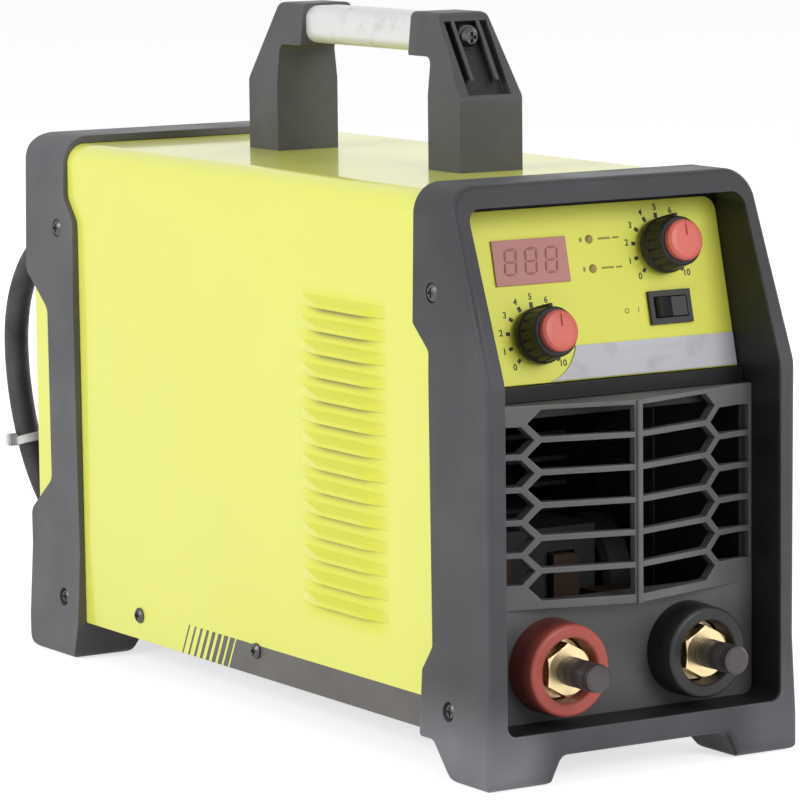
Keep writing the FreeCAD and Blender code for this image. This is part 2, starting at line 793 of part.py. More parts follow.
# ---------------------------------------------------------------- handle
def post_side():
    """Side view (y, z) of the front post, with its arm."""
    back = POST_FRONT_Y + POST_DEPTH
    return [
        (POST_FRONT_Y, COVER_TOP),
        (POST_FRONT_Y, POST_SHOULDER, 5),
        (POST_FRONT_Y + POST_SLOPE, HANDLE_TOP, 3),
        (back + POST_ARM, HANDLE_TOP, 1),
        (back + POST_ARM, ARM_UNDER, 1),
        (back, ARM_UNDER, 3),
        (back, COVER_TOP),
    ]


def handle_post():
    top_half = POST_HALF - 3.0
    front = [
        (-POST_HALF, COVER_TOP),
        (POST_HALF, COVER_TOP),
        (POST_HALF, POST_SHOULDER, 12),
        (top_half, HANDLE_TOP, 2.5),
        (-top_half, HANDLE_TOP, 2.5),
        (-POST_HALF, POST_SHOULDER, 12),
    ]
    post = along_x(post_side(), -20, 20).common(along_y(front, 80, 150))
    # pocket in the sloping face, with a boss for the bar's screw between two ribs
    slope = Vector(0, POST_SLOPE, HANDLE_TOP - POST_SHOULDER).normalize()
    inwards = Vector(0, slope.z, -slope.y)
    low = Vector(0, POST_FRONT_Y, POST_SHOULDER) + slope * 1.0
    high = low + slope * 31.0
    deep = inwards * POCKET_DEPTH
    out = inwards * -3.0
    pocket = along_x([(p.y, p.z) for p in (low + out, high + out, high + deep, low + deep)],
                     -POCKET_HALF, POCKET_HALF)
    post = post.cut(pocket)
    ribs = [box(x - 0.7, x + 0.7, 98, 119, 238, 262).common(pocket) for x in (-5.4, 5.4)]
    ribs = [r.common(along_x(post_side(), -20, 20)) for r in ribs]
    boss = rod(4.4, Vector(0, BOSS_FACE, BAR_SCREW_Z), Y_AXIS, 7)
    post = fuse(post, boss, *ribs)
    bar = rounded_box(-BAR_HALF, BAR_HALF, BAR_START, 200, ARM_UNDER + 0.8, HANDLE_TOP - 0.8, BAR_CORNER)
    screw_hole = rod(2.2, Vector(0, 90, BAR_SCREW_Z), Y_AXIS, 40)
    inserts = [rod(2.0, Vector(0, POST_FRONT_Y + d, 195), Z_AXIS, 26) for d in (6, 15)]
    return cut(post, bar, screw_hole, *inserts)


def to_rear(shape):
    """Turns a front-post shape round to the rear post's place."""
    turned = shape.copy()
    turned.rotate(Vector(0, (POST_FRONT_Y + REAR_POST_Y) / 2, 0), Z_AXIS, 180)
    return turned


def handle_bar():
    start = BAR_START + 0.1
    end = POST_FRONT_Y + REAR_POST_Y - start
    bar = rounded_box(-BAR_HALF + 0.1, BAR_HALF - 0.1, start, end, ARM_UNDER + 0.9, HANDLE_TOP - 0.9,
                      BAR_CORNER)
    hollow = rounded_box(-BAR_HALF + 2.4, BAR_HALF - 2.4, start + 12, end - 12, ARM_UNDER + 3.2,
                         HANDLE_TOP - 3.2, 2.5)
    ends = [rod(1.7, Vector(0, start - 1, BAR_SCREW_Z), Y_AXIS, 12),
            rod(1.7, Vector(0, end + 1, BAR_SCREW_Z), Y_AXIS * -1, 12)]
    return cut(bar, hollow, *ends)


def handle_screws():
    front = screw(3.6, 2.6, 1.65, 16, Vector(0, BOSS_FACE, BAR_SCREW_Z), Y_AXIS * -1)
    under = [screw(3.4, 2.4, 1.95, 16, Vector(0, POST_FRONT_Y + d, COVER_TOP - SHEET), Z_AXIS * -1)
             for d in (6, 15)]
    front_set = [front] + under
    return Part.makeCompound(front_set + [to_rear(s) for s in front_set])


# ---------------------------------------------------------------- rear
EARTH = (-46.0, 32.0)
EARTH_RADIUS = 3.0  # M6
EARTH_CORE = 2.8
EARTH_NUT = 4.6


def rear_panel():
    y0, y1 = REAR_PANEL_Y, REAR_PANEL_Y + REAR_PANEL_THICK
    half = COVER_HALF - SHEET - FIT_GAP
    top = COVER_TOP - SHEET - FIT_GAP
    plate = along_y([(-half, TRAY_Z), (half, TRAY_Z), (half, top, 6.5), (-half, top, 6.5)], y0, y1)
    lip = along_y([(-half, 190), (half, 190), (half, top, 6.5), (-half, top, 6.5)], y0 - 9, y1)
    lip_in = along_y([(-half + SHEET, 180), (half - SHEET, 180), (half - SHEET, top - SHEET, 5.3),
                      (-half + SHEET, top - SHEET, 5.3)], y0 - 10, y0)
    fan = rod(FAN_SIZE / 2 - 2, Vector(0, y0 - 1, FAN_Z), Y_AXIS, 5)
    gland = rod(8.3, Vector(GLAND_X, y0 - 1, GLAND_Z), Y_AXIS, 5)
    x, z = POWER_SPOT
    switch = box(x - 11, x + 11, y0 - 1, y1 + 1, z - 14, z + 14)
    earth = rod(EARTH_RADIUS + 0.1, Vector(EARTH[0], y0 - 1, EARTH[1]), Y_AXIS, 5)
    corners = []
    pitch = FAN_SIZE / 2 - 4.25
    for sx in (-1, 1):
        for sz in (-1, 1):
            corners.append(rod(2.1, Vector(sx * pitch, y0 - 1, FAN_Z + sz * pitch), Y_AXIS, 5))
    return cut(fuse(plate, cut(lip, lip_in)), fan, gland, switch, earth, *corners)


def fan_guard():
    """A finger guard: four rings on four arms, each arm ending in a screw eye."""
    y0 = REAR_PANEL_Y + REAR_PANEL_THICK
    rings = []
    for radius in (9, 18, 27, 36):
        rings.append(turned_y([(radius, y0 + 1.4), (radius + 1.8, y0 + 1.4), (radius + 1.8, y0 + 3.2),
                               (radius, y0 + 3.2)], 0, FAN_Z))
    pitch = FAN_SIZE / 2 - 4.25
    arms = []
    for turn in (45, 135, 225, 315):
        arm = box(9, pitch * math.sqrt(2), y0, y0 + 1.8, FAN_Z - 1.1, FAN_Z + 1.1)
        eye = rod(4.0, Vector(pitch * math.sqrt(2), y0, FAN_Z), Y_AXIS, 1.8)
        hole = rod(2.1, Vector(pitch * math.sqrt(2), y0 - 1, FAN_Z), Y_AXIS, 4)
        piece = fuse(arm, eye).cut(hole)
        piece.rotate(Vector(0, 0, FAN_Z), Y_AXIS, turn)
        arms.append(piece)
    return fuse(*(rings + arms))


def fan_frame():
    y1 = REAR_PANEL_Y
    y0 = y1 - FAN_DEPTH
    half = FAN_SIZE / 2
    frame = rounded_box(-half, half, y0, y1, FAN_Z - half, FAN_Z + half, 4)
    bore = rod(half - 2, Vector(0, y0 - 1, FAN_Z), Y_AXIS, FAN_DEPTH + 2)
    waist = box(-half - 1, half + 1, y0 + 4, y1 - 4, FAN_Z - half - 1, FAN_Z + half + 1)
    barrel = rod(half - 0.6, Vector(0, y0, FAN_Z), Y_AXIS, FAN_DEPTH)
    frame = cut(fuse(frame.cut(waist), barrel.common(frame)), bore)
    struts = [rod(17, Vector(0, y0, FAN_Z), Y_AXIS, 2.4),
              rod(4.0, Vector(0, y0, FAN_Z), Y_AXIS, 17.4)]
    for turn in (20, 110, 200, 290):
        strut = box(10, half - 1, y0, y0 + 2.4, FAN_Z - 1.5, FAN_Z + 1.5)
        strut.rotate(Vector(0, 0, FAN_Z), Y_AXIS, turn)
        struts.append(strut)
    pitch = half - 4.25
    holes = []
    for sx in (-1, 1):
        for sz in (-1, 1):
            holes.append(rod(2.15, Vector(sx * pitch, y0 - 1, FAN_Z + sz * pitch), Y_AXIS,
                             FAN_DEPTH + 2))
    return cut(fuse(frame, *struts), *holes)


def fan_rotor():
    """Hub cup with twisted blades, each a loft from a steep root to a flat tip."""
    y1 = REAR_PANEL_Y - 2.0
    y0 = REAR_PANEL_Y - FAN_DEPTH + 3.4
    cup = turned_y([(4.05, y0), (17.5, y0), (17.5, y1 - 2.4), (16.3, y1 - 1.2), (0, y1 - 1.2),
                    (0, y1 - 5), (4.05, y1 - 5)], 0, FAN_Z)
    middle = (y0 + y1) / 2
    blades = []
    for i in range(BLADES):
        sections = []
        for radius, chord, angle in ((16.0, 15.0, 48), (36.0, 21.0, 28)):
            lean = math.radians(angle)
            along = Vector(0, math.sin(lean), math.cos(lean)) * (chord / 2)
            across = Vector(0, math.cos(lean), -math.sin(lean)) * 0.8
            centre = Vector(radius, middle, FAN_Z)
            corners = [centre + along + across, centre - along + across, centre - along - across,
                       centre + along - across]
            sections.append(Part.makePolygon(corners + [corners[0]]))
        blade = Part.makeLoft(sections, True, True)
        blade.rotate(Vector(0, 0, FAN_Z), Y_AXIS, i * 360 / BLADES)
        blades.append(blade)
    return fuse(cup, *blades)


def power_switch_housing():
    x, z = POWER_SPOT
    y1 = REAR_PANEL_Y + REAR_PANEL_THICK
    flange = rounded_box(x - 12.5, x + 12.5, y1, y1 + 2, z - 15.6, z + 15.6, 1.5)
    case = box(x - 10.8, x + 10.8, y1 - 22, y1, z - 13.8, z + 13.8)
    pit = box(x - 8.6, x + 8.6, y1 - 14, y1 + 5, z - POWER_REACH - 0.4, z + POWER_REACH + 0.4)
    blades = [box(x - 3.2, x + 3.2, y1 - 31, y1 - 20, z + dz - 0.4, z + dz + 0.4) for dz in (-9, 0, 9)]
    return fuse(cut(fuse(flange, case), pit), *blades)


def power_rocker():
    x, z = POWER_SPOT
    rocker = rocker_shape(POWER_REACH, 16.6, ROCKER_TILT)
    rocker.rotate(Vector(0, 0, 0), Z_AXIS, 90)
    rocker.rotate(Vector(0, 0, 0), X_AXIS, -90)
    rocker.translate(Vector(x, REAR_PANEL_Y + REAR_PANEL_THICK + 0.5, z))
    return rocker


def earth_stud():
    """Full size where it stands free behind its nut, and at its core inside the nuts."""
    x, z = EARTH
    start = REAR_PANEL_Y - 7
    free = REAR_PANEL_Y + REAR_PANEL_THICK + WASHER_THICK + EARTH_NUT + 0.4
    tip = BODY_DEPTH - 0.4
    return turned_y([(0, start), (EARTH_CORE, start), (EARTH_CORE, free - 0.2), (EARTH_RADIUS, free),
                     (EARTH_RADIUS, tip - 0.6), (EARTH_RADIUS - 0.6, tip), (0, tip)], x, z)


def earth_nuts():
    """One nut inside; a washer and a nut outside."""
    x, z = EARTH
    outside = REAR_PANEL_Y + REAR_PANEL_THICK
    return Part.makeCompound([
        plain_nut(x, z, 5.8, EARTH_CORE, REAR_PANEL_Y - EARTH_NUT, EARTH_NUT),
        washer(x, z, 6.2, EARTH_CORE, outside, WASHER_THICK),
        chamfered_nut(x, z, 5.8, EARTH_CORE, outside + WASHER_THICK, EARTH_NUT),
    ])


def cord_gland():
    """A hexagon body with a domed nut outside, a threaded neck and a lock nut inside."""
    y1 = REAR_PANEL_Y + REAR_PANEL_THICK
    body = along_y(hexagon(GLAND_X, GLAND_Z, 12.2), y1, y1 + 5)
    dome = turned_y([(0, y1 + 5), (10.2, y1 + 5), (10.2, y1 + 9.5), (8.0, GLAND_END), (0, GLAND_END)],
                    GLAND_X, GLAND_Z)
    neck = rod(8.1, Vector(GLAND_X, y1 - 10, GLAND_Z), Y_AXIS, 11)
    lock = along_y(hexagon(GLAND_X, GLAND_Z, 12.0, 0), REAR_PANEL_Y - 5, REAR_PANEL_Y)
    lock = lock.cut(rod(8.1, Vector(GLAND_X, y1 - 12, GLAND_Z), Y_AXIS, 20))
    return Part.makeCompound([fuse(body, dome, neck), lock])


def strain_relief():
    """The tapered rubber sleeve round the cord where it leaves the gland."""
    end = GLAND_END + RELIEF_LENGTH
    return turned_y([(0, GLAND_END), (7.2, GLAND_END), (5.8, end), (0, end)], GLAND_X, GLAND_Z)


# ---------------------------------------------------------------- fasteners
def side_screws(places, seat, head_radius, head_height, length):
    screws = []
    for y, z in places:
        right = screw(head_radius, head_height, 1.5, length, Vector(seat, y, z), X_AXIS)
        screws += [right, mirrored_x(right)]
    return Part.makeCompound(screws)


def fan_screws():
    y1 = REAR_PANEL_Y + REAR_PANEL_THICK + 1.8
    pitch = FAN_SIZE / 2 - 4.25
    screws = []
    for sx in (-1, 1):
        for sz in (-1, 1):
            seat = Vector(sx * pitch, y1, FAN_Z + sz * pitch)
            screws.append(screw(3.6, 2.2, 1.9, 12, seat, Y_AXIS))
    return Part.makeCompound(screws)


# ---------------------------------------------------------------- inside
BOARD_Z = 30.0
BOARD_TOP = BOARD_Z + 1.6


def main_board():
    board = box(-54, 54, 66, 292, BOARD_Z, BOARD_TOP)
    holes = [rod(1.6, Vector(x, y, 25), Z_AXIS, 10) for x in (-48, 48) for y in (74, 284)]
    return cut(board, *holes)


def board_standoffs():
    posts = []
    for x in (-48, 48):
        for y in (74, 284):
            corners = [(x + 3.4 * math.cos(math.radians(a)), y + 3.4 * math.sin(math.radians(a)))
                       for a in range(0, 360, 60)]
            post = along_z(corners, TRAY_Z + TRAY_THICK, BOARD_Z)
            posts.append(fuse(post, rod(1.5, Vector(x, y, BOARD_Z - 1), Z_AXIS, 5)))
    return Part.makeCompound(posts)


def heat_sinks():
    """Two finned extrusions, back to back along the airflow."""
    sinks = []
    for side in (-1, 1):
        base = box(side * 14 - 2.5, side * 14 + 2.5, 124, 222, BOARD_TOP, 118)
        fins = []
        for row in range(9):
            z = BOARD_TOP + 4 + row * 9.4
            near, far = sorted((side * 16.5, side * 50))
            fins.append(box(near, far, 124, 222, z, z + 1.8))
        sinks.append(fuse(base, *fins))
    return Part.makeCompound(sinks)


def bulk_capacitors():
    cans = []
    for x in (-38, -13, 13, 38):
        cans.append(turned_z([(0, BOARD_TOP), (11.8, BOARD_TOP), (11.8, 71), (10.8, 72), (0, 72)], x, 252))
    return Part.makeCompound(cans)


def transformer_core():
    core = box(-30, 30, 76, 108, BOARD_TOP, 76)
    windows = [box(-21, -9, 75, 109, BOARD_TOP + 9, 67), box(9, 21, 75, 109, BOARD_TOP + 9, 67)]
    return cut(core, *windows)


def transformer_winding():
    ring = rounded_box(-20.5, 20.5, 72, 112, BOARD_TOP + 9.5, 66.5, 3)
    return cut(ring, box(-9.2, 9.2, 70, 115, BOARD_TOP + 9, 67).fuse(
        box(-20.5, 20.5, 76, 108, BOARD_TOP + 9, 67).cut(
            box(-20.5, 20.5, 75.5, 108.5, BOARD_TOP + 10, 66))))


def output_choke():
    """A wound ring standing on the board."""
    middle_z = BOARD_TOP + 22.6
    section = [(8.6, -4.5), (11, -6.5), (19, -6.5), (21.6, -4.5), (21.6, 4.5), (19, 6.5), (11, 6.5),
               (8.6, 4.5)]
    ring = turned_z(section, 0, 0)
    ring.rotate(Vector(0, 0, 0), Y_AXIS, 90)
    ring.translate(Vector(42, 98, middle_z))
    foot = box(36, 48, 84, 112, BOARD_TOP, BOARD_TOP + 4)
    return fuse(ring, foot)


def rectifier():
    return fuse(box(-52, -34, 78, 106, BOARD_TOP, BOARD_TOP + 12),
                box(-50, -46, 84, 100, BOARD_TOP + 12, BOARD_TOP + 20))


def busbars():
    """Bent copper strips, each from a terminal stud back and down to the board."""
    strips = []
    y0, y1 = COLLAR_BACK, 74.0
    high = TERMINAL_Z + 12.0
    for x in (-TERMINAL_X, TERMINAL_X):
        side_view = [
            (y0, TERMINAL_Z - 9),
            (y0 + BUSBAR, TERMINAL_Z - 9),
            (y0 + BUSBAR, high),
            (y1 - BUSBAR, high),
            (y1 - BUSBAR, BOARD_TOP),
            (y1, BOARD_TOP),
            (y1, high + BUSBAR, 2.5),
            (y0, high + BUSBAR, 2.5),
        ]
        strip = along_x(side_view, x - 8, x + 8)
        strips.append(strip.cut(rod(STUD_RADIUS + FIT_GAP, Vector(x, y0 - 1, TERMINAL_Z), Y_AXIS, 5)))
    return Part.makeCompound(strips)


# ---------------------------------------------------------------- cord
# Points of the free stretch from the gland to the coil, and of the tail from the coil to the plug.
COIL_OUTER_TURN = COIL_MIDDLE_RADIUS + CORD_RADIUS
COIL_HEIGHT = 4 * CORD_RADIUS
PLUG_Z = COIL_HEIGHT + PLUG_RADIUS  # the plug lies on the coil
CORD_ROUTE = [
    (GLAND_X, GLAND_END, GLAND_Z),
    (-35, 365, 165),
    (-35, 393, 152),
    (-34, 411, 126),
    (-33, 410, 90),
    (-29, 400, 55),
    (-18, 389, 29),
    (4, 379, 12),
    (31, 369, 5),
    (53, 363, 5),
    (COIL_X, COIL_Y - COIL_OUTER_TURN, 5),
]
TAIL_ROUTE = [
    (17.4, 455.5, 15),
    (6.8, 424, 15.5),
    (16.1, 391.7, 22),
    (40.7, 369.9, 34),
    (PLUG_START, PLUG_Y, PLUG_Z),
]


def tube(route, radius, label):
    """Straight runs joined by tangent arcs, each as large as its two runs allow."""
    points = [Vector(*p) for p in route]
    edges, radii = [], []
    last = points[0]
    for i in range(1, len(points) - 1):
        back = points[i - 1] - points[i]
        ahead = points[i + 1] - points[i]
        shorter = min(back.Length, ahead.Length)
        back.normalize()
        ahead.normalize()
        turn = math.pi - back.getAngle(ahead)
        bend = 0.45 * shorter / math.tan(turn / 2)
        radii.append(round(bend, 1))
        start = points[i] + back * (0.45 * shorter)
        end = points[i] + ahead * (0.45 * shorter)
        middle = (back + ahead).normalize()
        centre = points[i] + middle * (bend / math.cos(turn / 2))
        edges.append(Part.LineSegment(last, start).toShape())
        edges.append(Part.Arc(start, centre - middle * bend, end).toShape())
        last = end
    edges.append(Part.LineSegment(last, points[-1]).toShape())
    path = Part.Wire(edges)
    first = (points[1] - points[0]).normalize()
    ring = Part.Wire(Part.makeCircle(radius, points[0], first))
    solid = path.makePipeShell([ring], True, False)
    length = path.Length
    expected = math.pi * radius * radius * length
    print(label, "length", round(length, 1), "radii", radii, "volume ratio",
          round(solid.Volume / expected, 4))
    return solid


def cord_coil():
    """The outer shape of the coil's turns, two layers of two, as one closed ring."""
    width = 2 * CORD_RADIUS
    inner = COIL_MIDDLE_RADIUS - width
    outer = COIL_MIDDLE_RADIUS + width
    bevel = 2.5
    section = []
    for radius, inwards in ((inner, bevel), (outer, -bevel)):
        corners = [(radius + inwards, 0), (radius, bevel), (radius, COIL_HEIGHT - bevel),
                   (radius + inwards, COIL_HEIGHT)]
        section += corners if radius == inner else reversed(corners)
    return turned_z(section, COIL_X, COIL_Y)


def power_plug():
    """A straight rubber plug: sleeve, ribbed grip and round face."""
    profile = [
        (0, 0),
        (7.0, 0),
        (8.2, 20),
        (12.6, 26),
        (14.0, 38),
        (PLUG_RADIUS, 43),
        (PLUG_RADIUS, 61),
        (PLUG_RADIUS - 1, 62),
        (0, 62),
    ]
    plug = turned_z(profile, 0, 0)
    rings = [turned_z([(6.0, z), (9, z), (9, z + 1.5), (6.0, z + 1.5)], 0, 0) for z in (4, 8.5, 13)]
    flats = [box(-30, 30, side * 16.2, side * 30, 27, 70) if side > 0 else
             box(-30, 30, -30, -16.2, 27, 70) for side in (-1, 1)]
    return lie_along_x(cut(plug, *(rings + flats)))


def plug_pins():
    pins = [turned_z([(0, 62), (2.4, 62), (2.4, 80), (1.4, 81), (0, 81)], x, 0) for x in (-9.5, 9.5)]
    return lie_along_x(Part.makeCompound(pins))


def lie_along_x(shape):
    """Lays a shape drawn along Z down along +X, at the plug's place on the coil."""
    laid = shape.copy()
    laid.rotate(Vector(0, 0, 0), Y_AXIS, 90)
    laid.rotate(Vector(0, 0, 0), X_AXIS, 90)
    laid.translate(Vector(PLUG_START, PLUG_Y, PLUG_Z))
    return laid


SUBPARTS = {
    "front_bezel": front_bezel,
    "rear_bumper": rear_bumper,
    "top_cover": top_cover,
    "base_tray": base_tray,
    "front_grille": front_grille,
    "positive_collar": lambda: terminal_collar(-TERMINAL_X),
    "negative_collar": lambda: terminal_collar(TERMINAL_X),
    "positive_stud": lambda: terminal_stud(-TERMINAL_X),
    "negative_stud": lambda: terminal_stud(TERMINAL_X),
    "terminal_nuts": terminal_nuts,
    "control_panel": control_panel,
    "panel_strip": panel_strip,
    "display_window": display_window,
    "display_module": display_module,
    "indicator_lamps": indicator_lamps,
    "control_board": control_board,
    "current_potentiometer": lambda: potentiometer("current"),
    "force_potentiometer": lambda: potentiometer("force"),
    "potentiometer_nuts": potentiometer_nuts,
    "current_spindle": lambda: knob_spindle("current"),
    "force_spindle": lambda: knob_spindle("force"),
    "current_knob": lambda: knob_body("current"),
    "force_knob": lambda: knob_body("force"),
    "current_knob_cap": lambda: knob_cap("current"),
    "force_knob_cap": lambda: knob_cap("force"),
    "mode_switch_housing": mode_switch_housing,
    "mode_rocker": mode_rocker,
    "handle_front_post": handle_post,
    "handle_rear_post": lambda: to_rear(handle_post()),
    "handle_bar": handle_bar,
    "handle_screws": handle_screws,
    "rear_panel": rear_panel,
    "fan_guard": fan_guard,
    "fan_frame": fan_frame,
    "fan_rotor": fan_rotor,
    "fan_screws": fan_screws,
    "power_switch_housing": power_switch_housing,
    "power_rocker": power_rocker,
    "earth_stud": earth_stud,
    "earth_nuts": earth_nuts,
    "cord_gland": cord_gland,
    "strain_relief": strain_relief,
    "bezel_screws": lambda: side_screws(BEZEL_SCREWS, BODY_WIDTH / 2 - WELL_DEPTH, 3.2, 1.5, 4.8),
    "bumper_screws": lambda: side_screws(BUMPER_SCREWS, BODY_WIDTH / 2 - WELL_DEPTH, 3.2, 1.5, 4.8),
    "cover_screws": lambda: side_screws(COVER_SCREWS, COVER_HALF, 3.0, 1.6, 6),
    "main_board": main_board,
    "board_standoffs": board_standoffs,
    "heat_sinks": heat_sinks,
    "bulk_capacitors": bulk_capacitors,
    "transformer_core": transformer_core,
    "transformer_winding": transformer_winding,
    "output_choke": output_choke,
    "rectifier": rectifier,
    "busbars": busbars,
    "power_cord": lambda: tube(CORD_ROUTE, CORD_RADIUS, "power_cord"),
    "cord_coil": cord_coil,
    "cord_tail": lambda: tube(TAIL_ROUTE, CORD_RADIUS, "cord_tail"),
    "power_plug": power_plug,
    "plug_pins": plug_pins,
}

os.makedirs("parts", exist_ok=True)
for name, make in SUBPARTS.items():
    save(name, make())
print(len(SUBPARTS), "sub-parts")
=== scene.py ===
# %% [markdown]
# # Dressing a stick welding inverter
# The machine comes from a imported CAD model: every rigid piece already has its real size and place.
# This file gives those pieces their finishes, adds what is too fine for the solids (threads, printed
# marks, ties, the flexible lead), and lights the result. Lengths are in metres, +Z is up, and the
# front, where the controls are, faces -Y.

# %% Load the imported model
import json
import math

import bmesh
import bpy
from mathutils import Matrix, Vector


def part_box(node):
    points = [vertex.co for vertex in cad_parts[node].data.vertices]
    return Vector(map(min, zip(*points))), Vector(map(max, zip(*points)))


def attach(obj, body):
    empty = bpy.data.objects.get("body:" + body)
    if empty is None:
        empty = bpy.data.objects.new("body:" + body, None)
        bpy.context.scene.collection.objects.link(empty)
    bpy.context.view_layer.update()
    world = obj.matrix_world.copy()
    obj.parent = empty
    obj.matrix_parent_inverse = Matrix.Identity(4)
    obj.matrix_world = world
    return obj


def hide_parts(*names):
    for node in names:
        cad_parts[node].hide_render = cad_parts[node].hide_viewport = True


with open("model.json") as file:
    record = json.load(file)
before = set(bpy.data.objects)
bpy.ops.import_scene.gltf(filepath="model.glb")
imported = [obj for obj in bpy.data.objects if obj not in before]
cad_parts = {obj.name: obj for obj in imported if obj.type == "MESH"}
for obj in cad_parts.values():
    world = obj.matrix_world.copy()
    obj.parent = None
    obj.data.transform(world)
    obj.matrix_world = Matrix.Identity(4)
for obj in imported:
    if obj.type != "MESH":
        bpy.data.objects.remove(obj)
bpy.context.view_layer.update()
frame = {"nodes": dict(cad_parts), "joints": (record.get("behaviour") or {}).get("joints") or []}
MM = 0.001
HOUSING = "housing"
BACK = -163  # from the front rim to the frame's origin, in millimetres


# %% [markdown]
# ## Camera
# A product portrait is taken with a long lens from a few steps away, so that upright edges stay
# nearly parallel. The camera looks at the middle of the machine from its front left, a little above
# its top. It has a touch of roll and of lens shift, which frame the machine without turning the
# camera off its subject.

# %% Camera
AZIMUTH = math.radians(-32.1)
ELEVATION = math.radians(7.9)
ROLL = math.radians(-0.6)
DISTANCE = 1.744
LENS = 209.3  # focal length in millimetres
SHIFT = (-0.0206, 0.0185)
AIM = Vector((0.0, -13 * MM, 110 * MM))


def new_object(name, data):
    """An object that holds this data, linked to the scene."""
    made = bpy.data.objects.new(name, data)
    bpy.context.scene.collection.objects.link(made)
    return made


def add_camera():
    back = Vector((math.sin(AZIMUTH) * math.cos(ELEVATION),
                   -math.cos(AZIMUTH) * math.cos(ELEVATION),
                   math.sin(ELEVATION)))
    level = Vector((math.cos(AZIMUTH), math.sin(AZIMUTH), 0))
    rise = back.cross(level)
    right = math.cos(ROLL) * level + math.sin(ROLL) * rise
    up = math.cos(ROLL) * rise - math.sin(ROLL) * level
    data = bpy.data.cameras.new("portrait_camera")
    data.lens = LENS
    data.shift_x, data.shift_y = SHIFT
    camera = new_object("portrait_camera", data)
    turn = Matrix((right, up, back)).transposed().to_4x4()
    camera.matrix_world = Matrix.Translation(AIM + back * DISTANCE) @ turn
    bpy.context.scene.camera = camera
    return camera


print("camera stands", round(add_camera().matrix_world.translation.length, 2), "m from the machine")

# %% [markdown]
# ## Helpers for meshes
# A finished piece keeps its object at the origin and its place in its mesh, as the CAD nodes do.
# `add_piece` does that for any mesh and lets it ride on the housing, which carries all that is added
# here. `plain_mesh` turns a curve, a text or a modifier's result into such a mesh.

# %% Helpers for meshes


def add_piece(name, mesh, material, smooth=None):
    """Links a mesh as a piece of the housing; smooth is the largest angle left soft."""
    piece = new_object(name, mesh)
    mesh.materials.clear()
    mesh.materials.append(material)
    if smooth is not None:
        mesh.shade_smooth()
        mesh.set_sharp_from_angle(angle=math.radians(smooth))
    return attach(piece, HOUSING)


def mesh_from(bm, name):
    mesh = bpy.data.meshes.new(name)
    bm.to_mesh(mesh)
    bm.free()
    return mesh


def plain_mesh(holder):
    """The final shape of an object as a mesh of its own. The object itself is taken away."""
    graph = bpy.context.evaluated_depsgraph_get()
    mesh = bpy.data.meshes.new_from_object(holder.evaluated_get(graph))
    bpy.data.objects.remove(holder)
    return mesh


def route_points(curve_object):
    """Points along a curve's own line, read from a copy that has no thickness."""
    data = curve_object.data.copy()
    data.bevel_depth = 0
    return [v.co.copy() for v in plain_mesh(new_object("line", data)).vertices]


def close_rings(bm, pairs):
    """Faces between each ring of points and the one that follows it."""
    for near, far in pairs:
        for k in range(len(near)):
            after = (k + 1) % len(near)
            bm.faces.new((near[k], near[after], far[after], far[k]))


def sweep(bm, points, radii, sides=24):
    """Rings of the given radii round a list of points, closed at both ends."""
    rings = []
    side = Vector((1, 0, 0))
    for i, (point, radius) in enumerate(zip(points, radii)):
        ahead = points[min(i + 1, len(points) - 1)] - points[max(i - 1, 0)]
        ahead.normalize()
        side = (side - ahead * side.dot(ahead)).normalized()
        across = ahead.cross(side)
        ring = []
        for k in range(sides):
            turn = 2 * math.pi * k / sides
            spoke = side * math.cos(turn) + across * math.sin(turn)
            ring.append(bm.verts.new(point + spoke * radius))
        rings.append(ring)
    close_rings(bm, zip(rings, rings[1:]))
    bm.faces.new(list(reversed(rings[0])))
    bm.faces.new(rings[-1])
    bmesh.ops.recalc_face_normals(bm, faces=bm.faces)


# %% [markdown]
# ## Helpers for node trees
# Materials and Geometry Nodes are both trees of nodes. `Wiring` holds what the two share: adding a
# node, feeding a socket with either a number or another node's output, and doing sums.

# %% Helpers for node trees


class Wiring:
    """A node tree under construction."""

    def __init__(self, tree):
        self.tree = tree

    def feed(self, socket, value):
        """Sets a socket to a plain value, or joins another node's output to it."""
        if isinstance(value, bpy.types.NodeSocket):
            self.tree.links.new(value, socket)
        else:
            socket.default_value = value

    def add(self, kind, feeds=None, **settings):
        """A new node. Feeds are for its inputs, by name or number, and settings for the node itself."""
        node = self.tree.nodes.new(kind)
        for key, value in settings.items():
            setattr(node, key, value)
        for key, value in (feeds or {}).items():
            self.feed(node.inputs[key], value)
        return node

    def out(self, kind, feeds=None, **settings):
        """The first output of a new node, which is all that most nodes are wanted for."""
        return self.add(kind, feeds, **settings).outputs[0]

    def maths(self, operation, *values):
        return self.out("ShaderNodeMath", dict(enumerate(values)), operation=operation)

    def above(self, value, limit):
        """1 where a value is over a limit, 0 elsewhere."""
        return self.maths("GREATER_THAN", value, limit)

    def below(self, value, limit):
        return self.maths("LESS_THAN", value, limit)

    def vector(self, x=0.0, y=0.0, z=0.0):
        return self.out("ShaderNodeCombineXYZ", {0: x, 1: y, 2: z})

    def parts(self, vector):
        """The X, Y and Z of a vector, by name."""
        return self.add("ShaderNodeSeparateXYZ", {0: vector}).outputs
